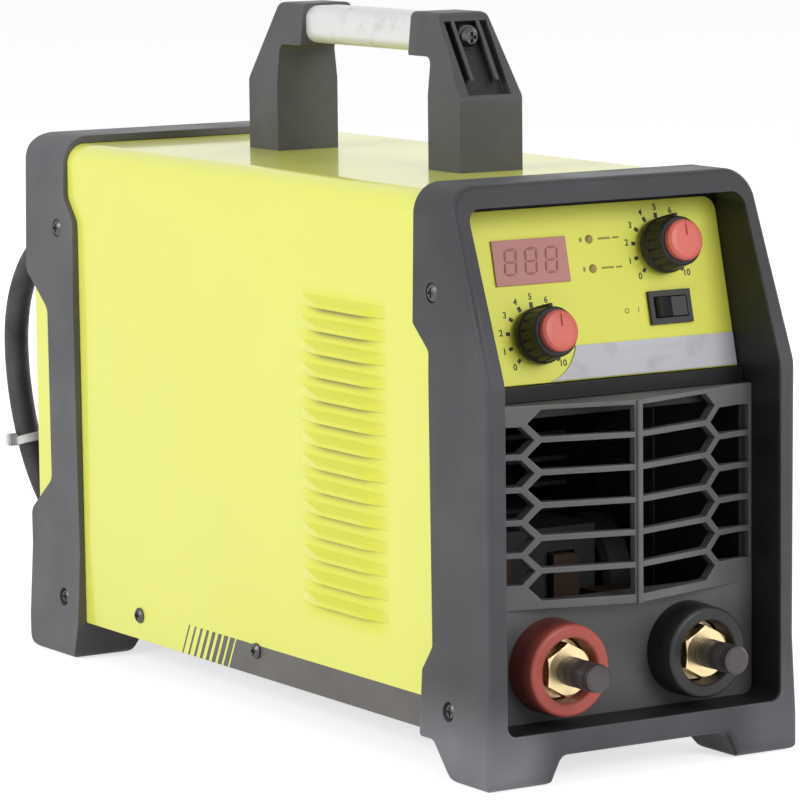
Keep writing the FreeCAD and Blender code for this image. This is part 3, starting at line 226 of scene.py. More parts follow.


# %% [markdown]
# ## Helpers for materials
# Every finish starts as one Principled shader. `Finish` wires the few things that all of them share: a
# colour that wanders a little, roughness that is patchy, edges painted lighter (partly wear, partly a
# painted highlight), and a fine bump.
# Patterns read Object coordinates, so they are the same size on every piece. A mask is an output that
# is 1 where something is to be painted, and masks are multiplied to say "here and here".

# %% Helpers for materials


class Finish(Wiring):
    """A material under construction, with short names for the nodes that it uses."""

    def __init__(self, name, colour, roughness, metallic=0.0):
        self.material = bpy.data.materials.new(name)
        self.material.use_nodes = True
        super().__init__(self.material.node_tree)
        self.shader = self.tree.nodes["Principled BSDF"]
        self.set(Base_Color=(*colour, 1), Roughness=roughness, Metallic=metallic)
        self.colour = colour
        self.place = self.add("ShaderNodeTexCoord").outputs["Object"]

    def set(self, **values):
        """Feeds the shader's own inputs, named with _ for a space."""
        for key, value in values.items():
            self.feed(self.shader.inputs[key.replace("_", " ")], value)
        return self

    def between(self, axis, low, high):
        """1 where the place along an axis lies between two values, 0 elsewhere."""
        return self.maths("COMPARE", self.parts(self.place)[axis], (low + high) / 2, (high - low) / 2)

    def all_of(self, *masks):
        total = masks[0]
        for mask in masks[1:]:
            total = self.maths("MULTIPLY", total, mask)
        return total

    def edges(self, radius):
        """1 along sharp outer and inner edges, 0 on flats: where a rounded normal turns away."""
        rounded = self.out("ShaderNodeBevel", {"Radius": radius}, samples=6)
        facing = self.add("ShaderNodeNewGeometry").outputs["Normal"]
        match = self.add("ShaderNodeVectorMath", {0: rounded, 1: facing}, operation="DOT_PRODUCT")
        return self.spread(match.outputs["Value"], 1.0, 0.0, 0.80, 0.97)

    def noise(self, scale, detail=3.0, stretch=None):
        place = self.place
        if stretch:
            place = self.out("ShaderNodeMapping", {"Scale": stretch, "Vector": place})
        feeds = {"Scale": scale, "Detail": detail, "Vector": place}
        return self.add("ShaderNodeTexNoise", feeds).outputs["Fac"]

    def spread(self, source, low, high, from_low=0.3, from_high=0.7):
        """Goes from low to high while the source goes over its own range, easing in and out."""
        return self.out("ShaderNodeMapRange", {
            "Value": source, "From Min": from_low, "From Max": from_high,
            "To Min": low, "To Max": high}, interpolation_type="SMOOTHSTEP")

    def mixed(self, factor, first, second, blend="MIX"):
        """A colour between two, each a plain colour or an output."""
        node = self.add("ShaderNodeMix", {"Factor": factor}, data_type="RGBA", blend_type=blend)
        colours = [s for s in node.inputs if s.type == "RGBA"]
        for socket, value in zip(colours, (first, second)):
            self.feed(socket, (*value, 1) if isinstance(value, (tuple, list)) else value)
        return [s for s in node.outputs if s.type == "RGBA"][0]

    def paint_where(self, mask, colour, blend="MIX"):
        """Covers what the finish has so far with another colour wherever the mask is 1."""
        links = self.shader.inputs["Base Color"].links
        under = links[0].from_socket if links else self.colour
        return self.set(Base_Color=self.mixed(mask, under, colour, blend))

    def toned(self, mask, share):
        """Multiplies the colour so far by a share wherever the mask is 1."""
        return self.paint_where(mask, (share, share, share), "MULTIPLY")

    def patchy_colour(self, scale, share):
        """The colour wanders between a darker and a lighter self by this share."""
        dark = tuple(c * (1 - share) for c in self.colour)
        light = tuple(min(1.0, c * (1 + share)) for c in self.colour)
        return self.set(Base_Color=self.mixed(self.spread(self.noise(scale), 0, 1), dark, light))

    def patchy_roughness(self, scale, low, high, stretch=None):
        return self.set(Roughness=self.spread(self.noise(scale, 4, stretch), low, high))

    def bump(self, height, depth, strength, soften=0.0):
        """Fine relief of this depth; soften rounds sharp edges by a radius as well."""
        feeds = {"Distance": depth, "Strength": strength, "Height": height}
        if soften:
            feeds["Normal"] = self.out("ShaderNodeBevel", {"Radius": soften}, samples=4)
        return self.set(Normal=self.out("ShaderNodeBump", feeds))


# %% [markdown]
# ## Moulded plastic
# The front frame, rear frame and handle posts are moulded in glass-filled plastic with a spark-eroded
# texture: a grain about half a millimetre across that breaks highlights up and makes dark plastic look
# grey where light grazes it. A Voronoi cell pattern, used as a bump, has that pebbled look. A bevel in
# the shader rounds the edges that a mould never leaves sharp, and where it turns the normal most, the
# edge is painted paler: partly wear, partly a painted highlight.

# %% Moulded plastic
PEBBLES = 1500  # cells in a metre


def moulded(name, colour, rough=0.5, grain=0.07 * MM, rubbed_and_highlit=0.5):
    """Pebbled plastic with lighter handled patches and paler edges, partly worn and partly a painted
    highlight.
    """
    finish = Finish(name, colour, rough)
    pebbles = finish.add("ShaderNodeTexVoronoi", {"Scale": PEBBLES, "Vector": finish.place},
                         feature="SMOOTH_F1")
    handled = finish.spread(finish.noise(22, 5), 0, 1, 0.42, 0.75)
    lighter = tuple(min(1.0, c * 1.25 + 0.008) for c in colour)
    finish.set(Base_Color=finish.mixed(handled, colour, lighter))
    # Edges painted paler: partly wear, partly a painted highlight where light catches the rounded edge.
    worn_and_highlit = finish.all_of(finish.edges(0.9 * MM), finish.spread(finish.noise(70, 5), 0, rubbed_and_highlit))
    finish.paint_where(worn_and_highlit, tuple(min(1.0, c * 2.2 + 0.05) for c in colour))
    finish.patchy_roughness(35, rough - 0.07, rough + 0.09)
    finish.set(Specular_IOR_Level=0.3)
    return finish.bump(pebbles.outputs["Distance"], grain, 0.6, soften=0.6 * MM)


bumper_plastic = moulded("bumper_plastic", (0.100, 0.098, 0.107)).material
black_plastic = moulded("black_plastic", (0.016, 0.016, 0.017), 0.40, 0.02 * MM).material
fan_plastic = moulded("fan_plastic", (0.02, 0.02, 0.021), 0.5, 0.02 * MM).material
print("plain mouldings have", len(bumper_plastic.node_tree.nodes), "nodes each")

# %% [markdown]
# ## The bezel
# One moulding, but not one colour. Its upper part is painted darker as painted shade, its feet are
# painted paler as a painted highlight, the left one most, and its deep recess walls and the gap between
# the feet are painted dark as painted shade.
# Each mask is a range of heights or widths on the piece, read from the solids' own boxes where they
# have them. The front leans back above a kink, so the recess mask leans with it.

# %% The bezel
KINK = 141 * MM  # the front leans back above this height
LEAN = 0.388  # and by this much for each unit up
GAP_HALF, GAP_TOP = 40.3 * MM, 10.3 * MM  # the gap between the feet, and a little over
SEAM = 0.6 * MM  # round the pieces that the recess holds


def bezel_finish():
    """Grey, with painted shade above, a painted highlight at the feet, painted shade in the gap between
    the feet, and the recess walls that hold the panels painted black as painted shade.
    """
    finish = moulded("bezel_plastic", (0.060, 0.060, 0.068), 0.47)
    place = finish.parts(finish.place)
    aside = finish.maths("ABSOLUTE", place["X"])
    # Painted shade: the upper part is darker, from 120 to 165 mm up.
    finish.toned(finish.spread(place["Z"], 0, 1, 120 * MM, 165 * MM), 0.70)
    # Painted highlight: the feet are paler, the left one more.
    feet_highlight = finish.all_of(finish.spread(aside, 0, 1, 36 * MM, 52 * MM),
                         finish.spread(place["Z"], 1, 0, 10 * MM, 38 * MM))
    finish.toned(feet_highlight, 1.9)
    finish.toned(finish.all_of(feet_highlight, finish.below(place["X"], 0.0)), 1.5)
    # Painted shade: the slope and underside in the gap between the feet are darker.
    finish.toned(finish.all_of(
        finish.below(aside, GAP_HALF),
        finish.below(place["Z"], GAP_TOP),
        finish.above(place["Y"], (BACK + 0.8) * MM)), 0.35)
    # Painted shade: the recess walls behind the leaning rim are painted black.
    above_kink = finish.maths("MAXIMUM", finish.maths("SUBTRACT", place["Z"], KINK), 0.0)
    rim = finish.maths("ADD", finish.maths("MULTIPLY", above_kink, LEAN), (BACK + 1.2) * MM)
    grille_low, grille_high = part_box("front_grille")
    panel_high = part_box("control_panel")[1]
    wall_shade = finish.all_of(
        finish.between("X", grille_low.x - SEAM, grille_high.x + SEAM),
        finish.between("Z", grille_low.z - SEAM, panel_high.z + 3 * MM),
        finish.above(place["Y"], rim))
    return finish.paint_where(wall_shade, (0.012, 0.012, 0.013)).material


bezel_plastic = bezel_finish()
print("the bezel's finish has", len(bezel_plastic.node_tree.nodes), "nodes")

# %% [markdown]
# ## Handle, grille and terminal collars
# The handle posts have a pocket in each sloping face, painted dark as painted shade. The grille's
# louvre field is painted lighter than the plate below it, a painted highlight. The terminals' collars
# are the glossiest mouldings, with painted shade where they meet the plate.

# %% Handle, grille and terminal collars
POCKET_HALF, POCKET_DEPTH = 8.6 * MM, 9 * MM
SHOULDER_DROP, SHOULDER_LEAN = 32 * MM, 19 / 32  # above the shoulder the outer faces lean inwards


def handle_finish():
    """The posts are grey, and the pockets in their sloping faces are painted black as painted shade."""
    finish = moulded("handle_plastic", (0.070, 0.070, 0.077), 0.46)
    low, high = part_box("handle_front_post")
    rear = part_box("handle_rear_post")[1]
    centre, half = (low.y + rear.y) / 2, (rear.y - low.y) / 2
    shoulder = high.z - SHOULDER_DROP
    place = finish.parts(finish.place)
    outwards = finish.maths("ABSOLUTE", finish.maths("SUBTRACT", place["Y"], centre))
    lean = finish.maths("MULTIPLY", finish.maths("SUBTRACT", place["Z"], shoulder), SHOULDER_LEAN)
    sunk = finish.maths("SUBTRACT", finish.maths("SUBTRACT", half, lean), outwards)
    # Painted shade: the pockets in the sloping faces are black.
    pocket_shade = finish.all_of(
        finish.between("X", -POCKET_HALF, POCKET_HALF),
        finish.between("Z", shoulder, high.z - 1.2 * MM),
        finish.above(sunk, 0.9 * MM),
        finish.below(sunk, POCKET_DEPTH))
    return finish.paint_where(pocket_shade, (0.022, 0.022, 0.024)).material


def grille_finish():
    """The louvre field is painted lighter than the plate that carries the terminals, a painted
    highlight.
    """
    finish = moulded("grille_plastic", (0.070, 0.070, 0.072), 0.40, 0.03 * MM)
    up = finish.parts(finish.place)["Z"]
    # Painted highlight: lighter above 44 to 60 mm, over the louvre field.
    return finish.toned(finish.spread(up, 0, 1, 44 * MM, 60 * MM), 1.7).material


def collar_finish(name, colour, rough, node):
    """Glossy, with painted shade round the side where the collar meets the plate."""
    finish = moulded(name, colour, rough, 0.02 * MM, rubbed_and_highlit=0.2)
    inwards = finish.parts(finish.place)["Y"]
    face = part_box(node)[0].y
    # Painted shade: darker going back from 1 to 7 mm behind the front face, towards the plate.
    return finish.toned(finish.spread(inwards, 0, 1, face + 1 * MM, face + 7 * MM), 0.4).material


handle_plastic = handle_finish()
grille_plastic = grille_finish()
collar_red = collar_finish("collar_red", (0.43, 0.092, 0.072), 0.33, "positive_collar")
collar_black = collar_finish("collar_black", (0.024, 0.024, 0.025), 0.28, "negative_collar")
print("a collar's finish has", len(collar_red.node_tree.nodes), "nodes")

# %% [markdown]
# ## Powder-coated sheet
# The cover is steel sheet with a glossy lime yellow coat. Powder melts into a film that isn't quite
# flat: long soft waves, called orange peel, which show as a ripple in reflections. Dust settles in
# faint patches that dull the gloss. Two sizes of noise make the two effects, and a clear coat over
# the colour gives the gloss.

# %% Powder-coated sheet


def powder_coat(name, colour, rough, peel=0.06 * MM, coat=0.5, shine=0.5):
    """A glossy film with soft waves and faint dull patches."""
    finish = Finish(name, colour, rough)
    finish.patchy_colour(9, 0.012)
    finish.patchy_roughness(30, rough - 0.02, rough + 0.05)
    return finish.bump(finish.noise(420, 2), peel, 0.35, soften=0.5 * MM).set(
        Coat_Weight=coat, Coat_Roughness=0.08, Specular_IOR_Level=shine)


panel_overlay = powder_coat("panel_overlay", (0.77, 0.78, 0.095), 0.42, 0.02 * MM, 0.1).material
black_coat = powder_coat("black_coat", (0.022, 0.022, 0.024), 0.5, 0.05 * MM, 0.0).material
# Painted shade: the dark gauze behind the louvres.
gauze_coat = powder_coat("gauze_coat", (0.08, 0.08, 0.07), 0.6, 0.05 * MM, 0.0).material
print("a plain coat has", len(black_coat.node_tree.nodes), "nodes")

# %% [markdown]
# ## The cover's paint
# Round the pressed louvres the paint carries painted shade: the whole block is a deeper yellow, and an
# olive painted shadow lies under each lip. Both masks are worked out from the row's pitch, so one set
# of nodes serves all the louvres. The inner face is painted dark as painted shade inside the housing,
# found as the place that lies deeper than half a sheet behind the rounded outer shape.

# %% The cover's paint
LOUVRE_OUT = 2.2 * MM  # the louvres stand this far out of the cover's flat sides
LOUVRES = 14
LOUVRE_PITCH = 8.4 * MM
LOUVRE_LIP = 158.0 * MM  # height of the uppermost louvre's lip
LOUVRE_FRONT, LOUVRE_REAR = (BACK + 71) * MM, (BACK + 130) * MM
FIELD_FOOT = LOUVRE_LIP - LOUVRE_PITCH * LOUVRES
HALF_SHEET, CORNER = 0.6 * MM, 8 * MM


def louvre_field(finish, place):
    """1 over the block of louvres, fading within a few millimetres of its edges."""
    top = LOUVRE_LIP + LOUVRE_PITCH
    return finish.all_of(
        finish.spread(place["Y"], 0, 1, LOUVRE_FRONT - 4 * MM, LOUVRE_FRONT + 8 * MM),
        finish.spread(place["Y"], 1, 0, LOUVRE_REAR - 8 * MM, LOUVRE_REAR + 4 * MM),
        finish.spread(place["Z"], 0, 1, FIELD_FOOT, FIELD_FOOT + 8 * MM),
        finish.spread(place["Z"], 1, 0, top - 6 * MM, top))


def under_louvres(finish, place):
    """1 right under each lip, fading towards both of its ends, and fainter row by row downwards."""
    rows = finish.maths("DIVIDE", finish.maths("SUBTRACT", LOUVRE_LIP, place["Z"]), LOUVRE_PITCH)
    below_lip = finish.spread(finish.maths("FRACT", rows), 1.0, 0.0, 0.06, 0.38)
    return finish.all_of(
        below_lip, finish.all_of(finish.above(rows, 0.0), finish.below(rows, LOUVRES - 0.5)),
        finish.spread(place["Z"], 0.45, 1.0, FIELD_FOOT, LOUVRE_LIP),
        finish.spread(place["Y"], 0.0, 1.0, LOUVRE_FRONT + 2 * MM, LOUVRE_FRONT + 24 * MM),
        finish.spread(place["Y"], 1.0, 0.0, LOUVRE_REAR - 18 * MM, LOUVRE_REAR - 2 * MM))


def cover_finish():
    """Lime yellow outside, with painted shade over the louvre block and a painted shadow under each
    lip, and painted dark inside as painted shade.
    """
    finish = powder_coat("cover_paint", (0.87, 0.89, 0.150), 0.30, coat=0.6, shine=0.2)
    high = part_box("top_cover")[1]
    place = finish.parts(finish.place)
    # Painted shade: the louvre block is a deeper yellow.
    finish.paint_where(louvre_field(finish, place), (0.80, 0.82, 0.035))
    # Painted shadow: an olive line under each louvre lip.
    finish.paint_where(under_louvres(finish, place), (0.32, 0.32, 0.0))
    # Painted shade: the inner face is dark.
    aside = finish.maths("ABSOLUTE", place["X"])
    past = [finish.maths("MAXIMUM", finish.maths("SUBTRACT", where, edge - CORNER), 0.0)
            for where, edge in ((aside, high.x - LOUVRE_OUT), (place["Z"], high.z))]
    depth = finish.add("ShaderNodeVectorMath", {0: finish.vector(*past)}, operation="LENGTH")
    inside_shade = finish.below(depth.outputs["Value"], CORNER - HALF_SHEET)
    return finish.paint_where(inside_shade, (0.045, 0.045, 0.047)).material


cover_paint = cover_finish()
print("the cover's paint has", len(cover_paint.node_tree.nodes), "nodes")

# %% [markdown]
# ## Metals
# Brass terminals are turned on a lathe, the trim strip is brushed along its length, and the carrying
# bar is satin anodised. Scratches all run one way, so the noise is stretched along that direction.

# %% Metals


def brushed(name, colour, rough, stretch, depth=0.03 * MM, metallic=1.0):
    """Metal with fine scratches all one way and duller, tarnished patches."""
    finish = Finish(name, colour, rough, metallic)
    finish.patchy_roughness(60, rough - 0.08, rough + 0.12, stretch)
    dull = tuple(c * 0.72 for c in colour)
    tarnish = finish.spread(finish.noise(90, 5), 0, 1, 0.5, 0.8)
    finish.set(Base_Color=finish.mixed(tarnish, colour, dull))
    return finish.bump(finish.noise(260, 3, stretch), depth, 0.5, soften=0.2 * MM).material


brass = brushed("brass", (0.80, 0.64, 0.36), 0.27, (1, 9, 1))
strip_metal = brushed("strip_metal", (0.53, 0.525, 0.565), 0.5, (0.4, 12, 12), metallic=0.05)
grip_metal = brushed("grip_metal", (0.76, 0.76, 0.78), 0.42, (9, 0.5, 9), 0.02 * MM, metallic=0.3)
steel = brushed("steel", (0.45, 0.45, 0.46), 0.3, (1, 1, 6))
dark_steel = brushed("dark_steel", (0.10, 0.10, 0.105), 0.38, (3, 3, 3))
stud_steel = brushed("stud_steel", (0.085, 0.076, 0.080), 0.42, (1, 9, 1), metallic=0.7)
# Heat sinks and copper are painted nearly black, as painted shade inside the housing.
sink_alloy = brushed("sink_alloy", (0.030, 0.030, 0.032), 0.65, (6, 0.5, 6), metallic=0.0)
copper = brushed("copper", (0.055, 0.030, 0.020), 0.5, (1, 4, 1), metallic=0.3)
print("a metal has", len(brass.node_tree.nodes), "nodes")

# %% [markdown]
# ## Small finishes
# Knob caps, lens, lamps, circuit board, ferrite, print and rubber. They are smooth or barely grained,
# so a faint wander in colour and gloss and a very fine bump are enough. Rubber is the exception: it
# is dull, and pale dust lies on it in patches.

# %% Small finishes


def satin(name, colour, rough, scale=60, share=0.06, coat=0.0):
    """A smooth surface that wanders a little in colour and gloss."""
    finish = Finish(name, colour, rough)
    finish.patchy_colour(scale, share)
    finish.patchy_roughness(scale * 1.5, rough - 0.05, rough + 0.08)
    finish.set(Coat_Weight=coat)
    return finish.bump(finish.noise(700, 2), 0.02 * MM, 0.3, soften=0.3 * MM).material


def rubber(name, colour):
    """Dull, finely grained and dusty in patches."""
    finish = Finish(name, colour, 0.62)
    dusty = tuple(c * 1.8 + 0.012 for c in colour)
    dust = finish.spread(finish.noise(45, 6), 0, 1, 0.45, 0.8)
    finish.set(Base_Color=finish.mixed(dust, colour, dusty))
    finish.patchy_roughness(120, 0.5, 0.75)
    return finish.bump(finish.noise(900, 3), 0.05 * MM, 0.5).material


knob_red = satin("knob_red", (0.66, 0.135, 0.10), 0.42, coat=0.05)
display_lens = satin("display_lens", (0.48, 0.20, 0.175), 0.4, 25, 0.05)
ghost_digit = satin("ghost_digit", (0.33, 0.12, 0.10), 0.4, 25, 0.05)
lamp_amber = satin("lamp_amber", (0.36, 0.25, 0.06), 0.18, coat=0.4)
board_green = satin("board_green", (0.006, 0.022, 0.012), 0.5)
capacitor_sleeve = satin("capacitor_sleeve", (0.010, 0.012, 0.022), 0.4)
ferrite = satin("ferrite", (0.012, 0.012, 0.013), 0.6)
switch_black = satin("switch_black", (0.008, 0.008, 0.009), 0.42)
print_black = satin("print_black", (0.02, 0.02, 0.018), 0.5)
print_olive = satin("print_olive", (0.25, 0.25, 0.045), 0.5)
print_grey = satin("print_grey", (0.10, 0.092, 0.095), 0.42, 40, 0.1)
tie_white = satin("tie_white", (0.75, 0.75, 0.73), 0.42)
cord_rubber = rubber("cord_rubber", (0.028, 0.028, 0.03))
print("a satin finish has", len(knob_red.node_tree.nodes), "nodes")

# %% [markdown]
# ## Finishes for the carried-over solids
# Each CAD node keeps its mesh. Only its material slot changes, so a table of finish to nodes is all
# that is needed.

# %% Finishes for the carried-over solids
NODE_FINISH = (
    (bezel_plastic, "front_bezel"),
    (bumper_plastic, "rear_bumper"),
    (handle_plastic, "handle_front_post handle_rear_post"),
    (grille_plastic, "front_grille"),
    (cover_paint, "top_cover"),
    (panel_overlay, "control_panel"),
    (strip_metal, "panel_strip"),
    (display_lens, "display_window"),
    (lamp_amber, "indicator_lamps"),
    (board_green, "control_board main_board"),
    (steel, "current_potentiometer force_potentiometer potentiometer_nuts current_spindle "
            "force_spindle board_standoffs fan_guard"),
    (black_plastic, "current_knob force_knob display_module cord_gland"),
    (knob_red, "current_knob_cap force_knob_cap"),
    (switch_black, "mode_switch_housing mode_rocker power_switch_housing power_rocker"),
    (collar_red, "positive_collar"),
    (collar_black, "negative_collar"),
    (brass, "terminal_nuts earth_stud earth_nuts plug_pins"),
    (stud_steel, "positive_stud negative_stud"),
    (grip_metal, "handle_bar"),
    (dark_steel, "handle_screws bezel_screws bumper_screws cover_screws fan_screws"),
    (black_coat, "rear_panel base_tray"),
    (fan_plastic, "fan_frame fan_rotor"),
    (cord_rubber, "strain_relief power_cord cord_coil cord_tail power_plug"),
    (sink_alloy, "heat_sinks"),
    (capacitor_sleeve, "bulk_capacitors"),
    (ferrite, "transformer_core output_choke rectifier"),
    (copper, "transformer_winding busbars"),
)


def dress_nodes():
    dressed = 0
    for finish, names in NODE_FINISH:
        for name in names.split():
            mesh = frame["nodes"][name].data
            mesh.materials.clear()
            mesh.materials.append(finish)
            dressed += 1
    return dressed


print(dress_nodes(), "solids dressed of", len(frame["nodes"]))

# %% [markdown]
# ## The power lead
# The lead is 10 mm rubber cable, about 1.75 m long. It leaves the gland on the rear panel, droops to
# the floor, and the spare length is wound into a neat coil with the plug on top of it. A NURBS curve of
# order 3, guided by control points that are listed one by one, bends the way a stiff cable does. The
# coil's turns are worked out by a loop, because they follow a rule: out, in, up, and out again.

# %% The power lead
CORD_DIAMETER = 10 * MM
CORD_EXIT = Vector((-35 * MM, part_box("cord_gland")[1].y, 165 * MM))
COIL_LOW, COIL_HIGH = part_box("cord_coil")
COIL_CENTRE = (COIL_LOW + COIL_HIGH) / 2
COIL_MIDDLE = (COIL_HIGH.x - COIL_LOW.x) / 2 - CORD_DIAMETER
COIL_STEPS = 65
STEPS_PER_TURN = 18
HAIR = 0.1 * MM  # kept between a turn and what it lies on
FREE_POINTS = (
    (-35, 342, 165), (-35, 365, 165), (-35, 393, 152), (-34, 411, 126),
    (-33, 410, 90), (-29, 400, 55), (-18, 389, 29), (4, 379, 12),
    (31, 369, 5.1), (53, 363, 5.1), (72, 361, 5.1))
TAIL_POINTS = (
    (17.4, 455.5, 15.2), (6.8, 424, 15.5), (16.1, 391.7, 22), (40.7, 369.9, 34),
    (76, 366, 38.5))


def in_frame(point):
    """A place given in millimetres from the front rim."""
    return Vector((point[0], point[1] + BACK, point[2])) * MM


def eased(value, start, end):
    share = min(1.0, max(0.0, (value - start) / (end - start)))
    return share * share * (3 - 2 * share)


def coil_points():
    """Turns on the floor, from the outer to the inner one, then on top of them, back outwards."""
    half = CORD_DIAMETER / 2
    reach = 1 / math.cos(math.pi / STEPS_PER_TURN)  # a spline runs inside its control points
    points = []
    for step in range(COIL_STEPS):
        turn = (step + 0.5) / STEPS_PER_TURN
        inward = eased(turn, 0.75, 1.25) - eased(turn, 2.75, 3.25)
        upward = eased(turn, 1.8, 2.2)
        radius = (COIL_MIDDLE + half - inward * CORD_DIAMETER) * reach
        angle = -math.pi / 2 + 2 * math.pi * turn
        points.append(Vector((COIL_CENTRE.x + radius * math.cos(angle),
                              COIL_CENTRE.y + radius * math.sin(angle),
                              half + HAIR + upward * (CORD_DIAMETER + HAIR))))
    return points


def add_cord():
    route = [in_frame(p) for p in FREE_POINTS] + coil_points() + [in_frame(p) for p in TAIL_POINTS]
    data = bpy.data.curves.new("power_lead", "CURVE")
    data.dimensions = "3D"
    data.bevel_depth = CORD_DIAMETER / 2
    data.bevel_resolution = 6
    data.resolution_u = 8
    spline = data.splines.new("NURBS")
    spline.points.add(len(route) - 1)
    for control, point in zip(spline.points, route):
        control.co = (*point, 1)
    spline.order_u = 3
    spline.use_endpoint_u = True
    data.materials.append(cord_rubber)
    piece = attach(new_object("power_lead", data), HOUSING)
    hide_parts("power_cord", "cord_coil", "cord_tail")
    return piece


power_lead = add_cord()
lead_line = route_points(power_lead)
lead_length = sum((b - a).length for a, b in zip(lead_line, lead_line[1:]))
print("lead is", round(lead_length, 3), "m long")

# %% [markdown]
# ## Strain relief
# Where the lead leaves the gland it wears a tapered sleeve with grooves, which spreads the bend.
# The sleeve follows the lead's own line, so it is swept along points read from that curve. Its
# radius falls steadily, and two rings in every five are pinched to make the grooves.

# %% Strain relief
RELIEF_LENGTH, RING_STEP = 27 * MM, 0.75 * MM
RELIEF_ROOT, RELIEF_TIP, GROOVE = 7.6 * MM, 5.6 * MM, 0.9 * MM


def points_between(line, start, end, step):
    """Evenly spaced points between two lengths along a polyline."""
    found, walked, target = [], 0.0, start
    for a, b in zip(line, line[1:]):
        run = (b - a).length
        while target <= end and target <= walked + run:
            found.append(a.lerp(b, (target - walked) / run))
            target += step
        walked += run
    return found


def add_strain_relief():
    points = points_between(lead_line, 0, RELIEF_LENGTH, RING_STEP)
    last = len(points) - 1
    radii = []
    for i in range(len(points)):
        grooved = 5 < i < last - 3 and i % 5 in (0, 1)
        taper = RELIEF_ROOT + (RELIEF_TIP - RELIEF_ROOT) * i / last
        radii.append(taper - (GROOVE if grooved else 0))
    bm = bmesh.new()
    sweep(bm, points, radii, 32)
    mesh = mesh_from(bm, "strain_relief_sleeve")
    sleeve = add_piece("strain_relief_sleeve", mesh, cord_rubber, smooth=50)
    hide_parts("strain_relief")
    return sleeve


strain_sleeve = add_strain_relief()
print("strain relief has", len(strain_sleeve.data.polygons), "faces")

# %% [markdown]
# ## Ties
# A white cable tie is left on the hanging stretch, and two more hold the coil. A tie is a flat band
# with a small square head. On the lead the band is a short sleeve, and on the coil it is a loop
# round the bundle's square section.

# %% Ties
LEAD_TIE_HEIGHT = 77 * MM
TIE_THICK = 0.9 * MM
TIE_REACH = 2.2 * MM  # half the width of a band round the coil
TIE_CORNER = 5 * MM
TIE_CLEAR = 0.2 * MM


def nearest_index(height):
    """The index of the lead's point at this height on its way down."""
    for i, point in enumerate(lead_line):
        if point.z < height and point.y > CORD_EXIT.y:
            return i
    return 0


def add_lead_tie():
    at = nearest_index(LEAD_TIE_HEIGHT)
    middle = lead_line[at]
    ahead = (lead_line[at + 1] - lead_line[at - 1]).normalized()
    bm = bmesh.new()
    band = [middle + ahead * (offset * MM) for offset in (-1.8, -1.6, 1.6, 1.8)]
    sweep(bm, band, [5.2 * MM, 5.9 * MM, 5.9 * MM, 5.2 * MM])
    head = bmesh.ops.create_cube(bm, size=1.0)["verts"]
    bmesh.ops.scale(bm, vec=Vector((4.6, 3.6, 5.0)) * MM, verts=head)
    bmesh.ops.translate(bm, vec=middle + Vector((-7.2 * MM, 1.5 * MM, 0)), verts=head)
    bmesh.ops.bevel(bm, geom=[e for e in bm.edges if all(v in head for v in e.verts)],
                    offset=0.5 * MM, segments=2, affect="EDGES")
    return add_piece("lead_tie", mesh_from(bm, "lead_tie"), tie_white, smooth=40)


def add_coil_tie(name, angle):
    """A band round the coil's section at this angle."""
    out = Vector((math.cos(angle), math.sin(angle), 0))
    along = Vector((-math.sin(angle), math.cos(angle), 0))
    centre = Vector((COIL_CENTRE.x, COIL_CENTRE.y, 0)) + out * COIL_MIDDLE
    half, flat = CORD_DIAMETER, CORD_DIAMETER - TIE_CORNER
    bm = bmesh.new()
    rings = []
    for step in range(20):
        quarter, k = divmod(step, 5)
        turn = math.pi / 2 * (quarter + k / 4)
        x = flat * (1 if quarter in (0, 3) else -1) + TIE_CORNER * math.cos(turn)
        z = flat * (1 if quarter in (0, 1) else -1) + TIE_CORNER * math.sin(turn)
        grow = 1 + TIE_THICK / math.hypot(x, z)
        ring = []
        for scale, shift in ((1.0, -1), (1.0, 1), (grow, 1), (grow, -1)):
            height = max(TIE_CLEAR, half + z * scale + TIE_CLEAR)
            spot = centre + out * (x * scale) + along * (shift * TIE_REACH)
            ring.append(bm.verts.new(spot + Vector((0, 0, height))))
        rings.append(ring)
    close_rings(bm, zip(rings, rings[1:] + rings[:1]))
    bmesh.ops.recalc_face_normals(bm, faces=bm.faces)
    return add_piece(name, mesh_from(bm, name), tie_white, smooth=40)


lead_ties = [add_lead_tie(),
             add_coil_tie("coil_tie_left", math.radians(150)),
             add_coil_tie("coil_tie_right", math.radians(20))]

print("ties on the lead:", [tie.name for tie in lead_ties])

# %% [markdown]
# ## Geometry Nodes
# Threads, printed ticks, display segments, strips and the wires of a gauze all repeat by a rule, so
# node trees make them. `NodeTool` builds a tree in the script, gives it named inputs, and turns the
# result into a plain mesh.

# %% Geometry Nodes helper


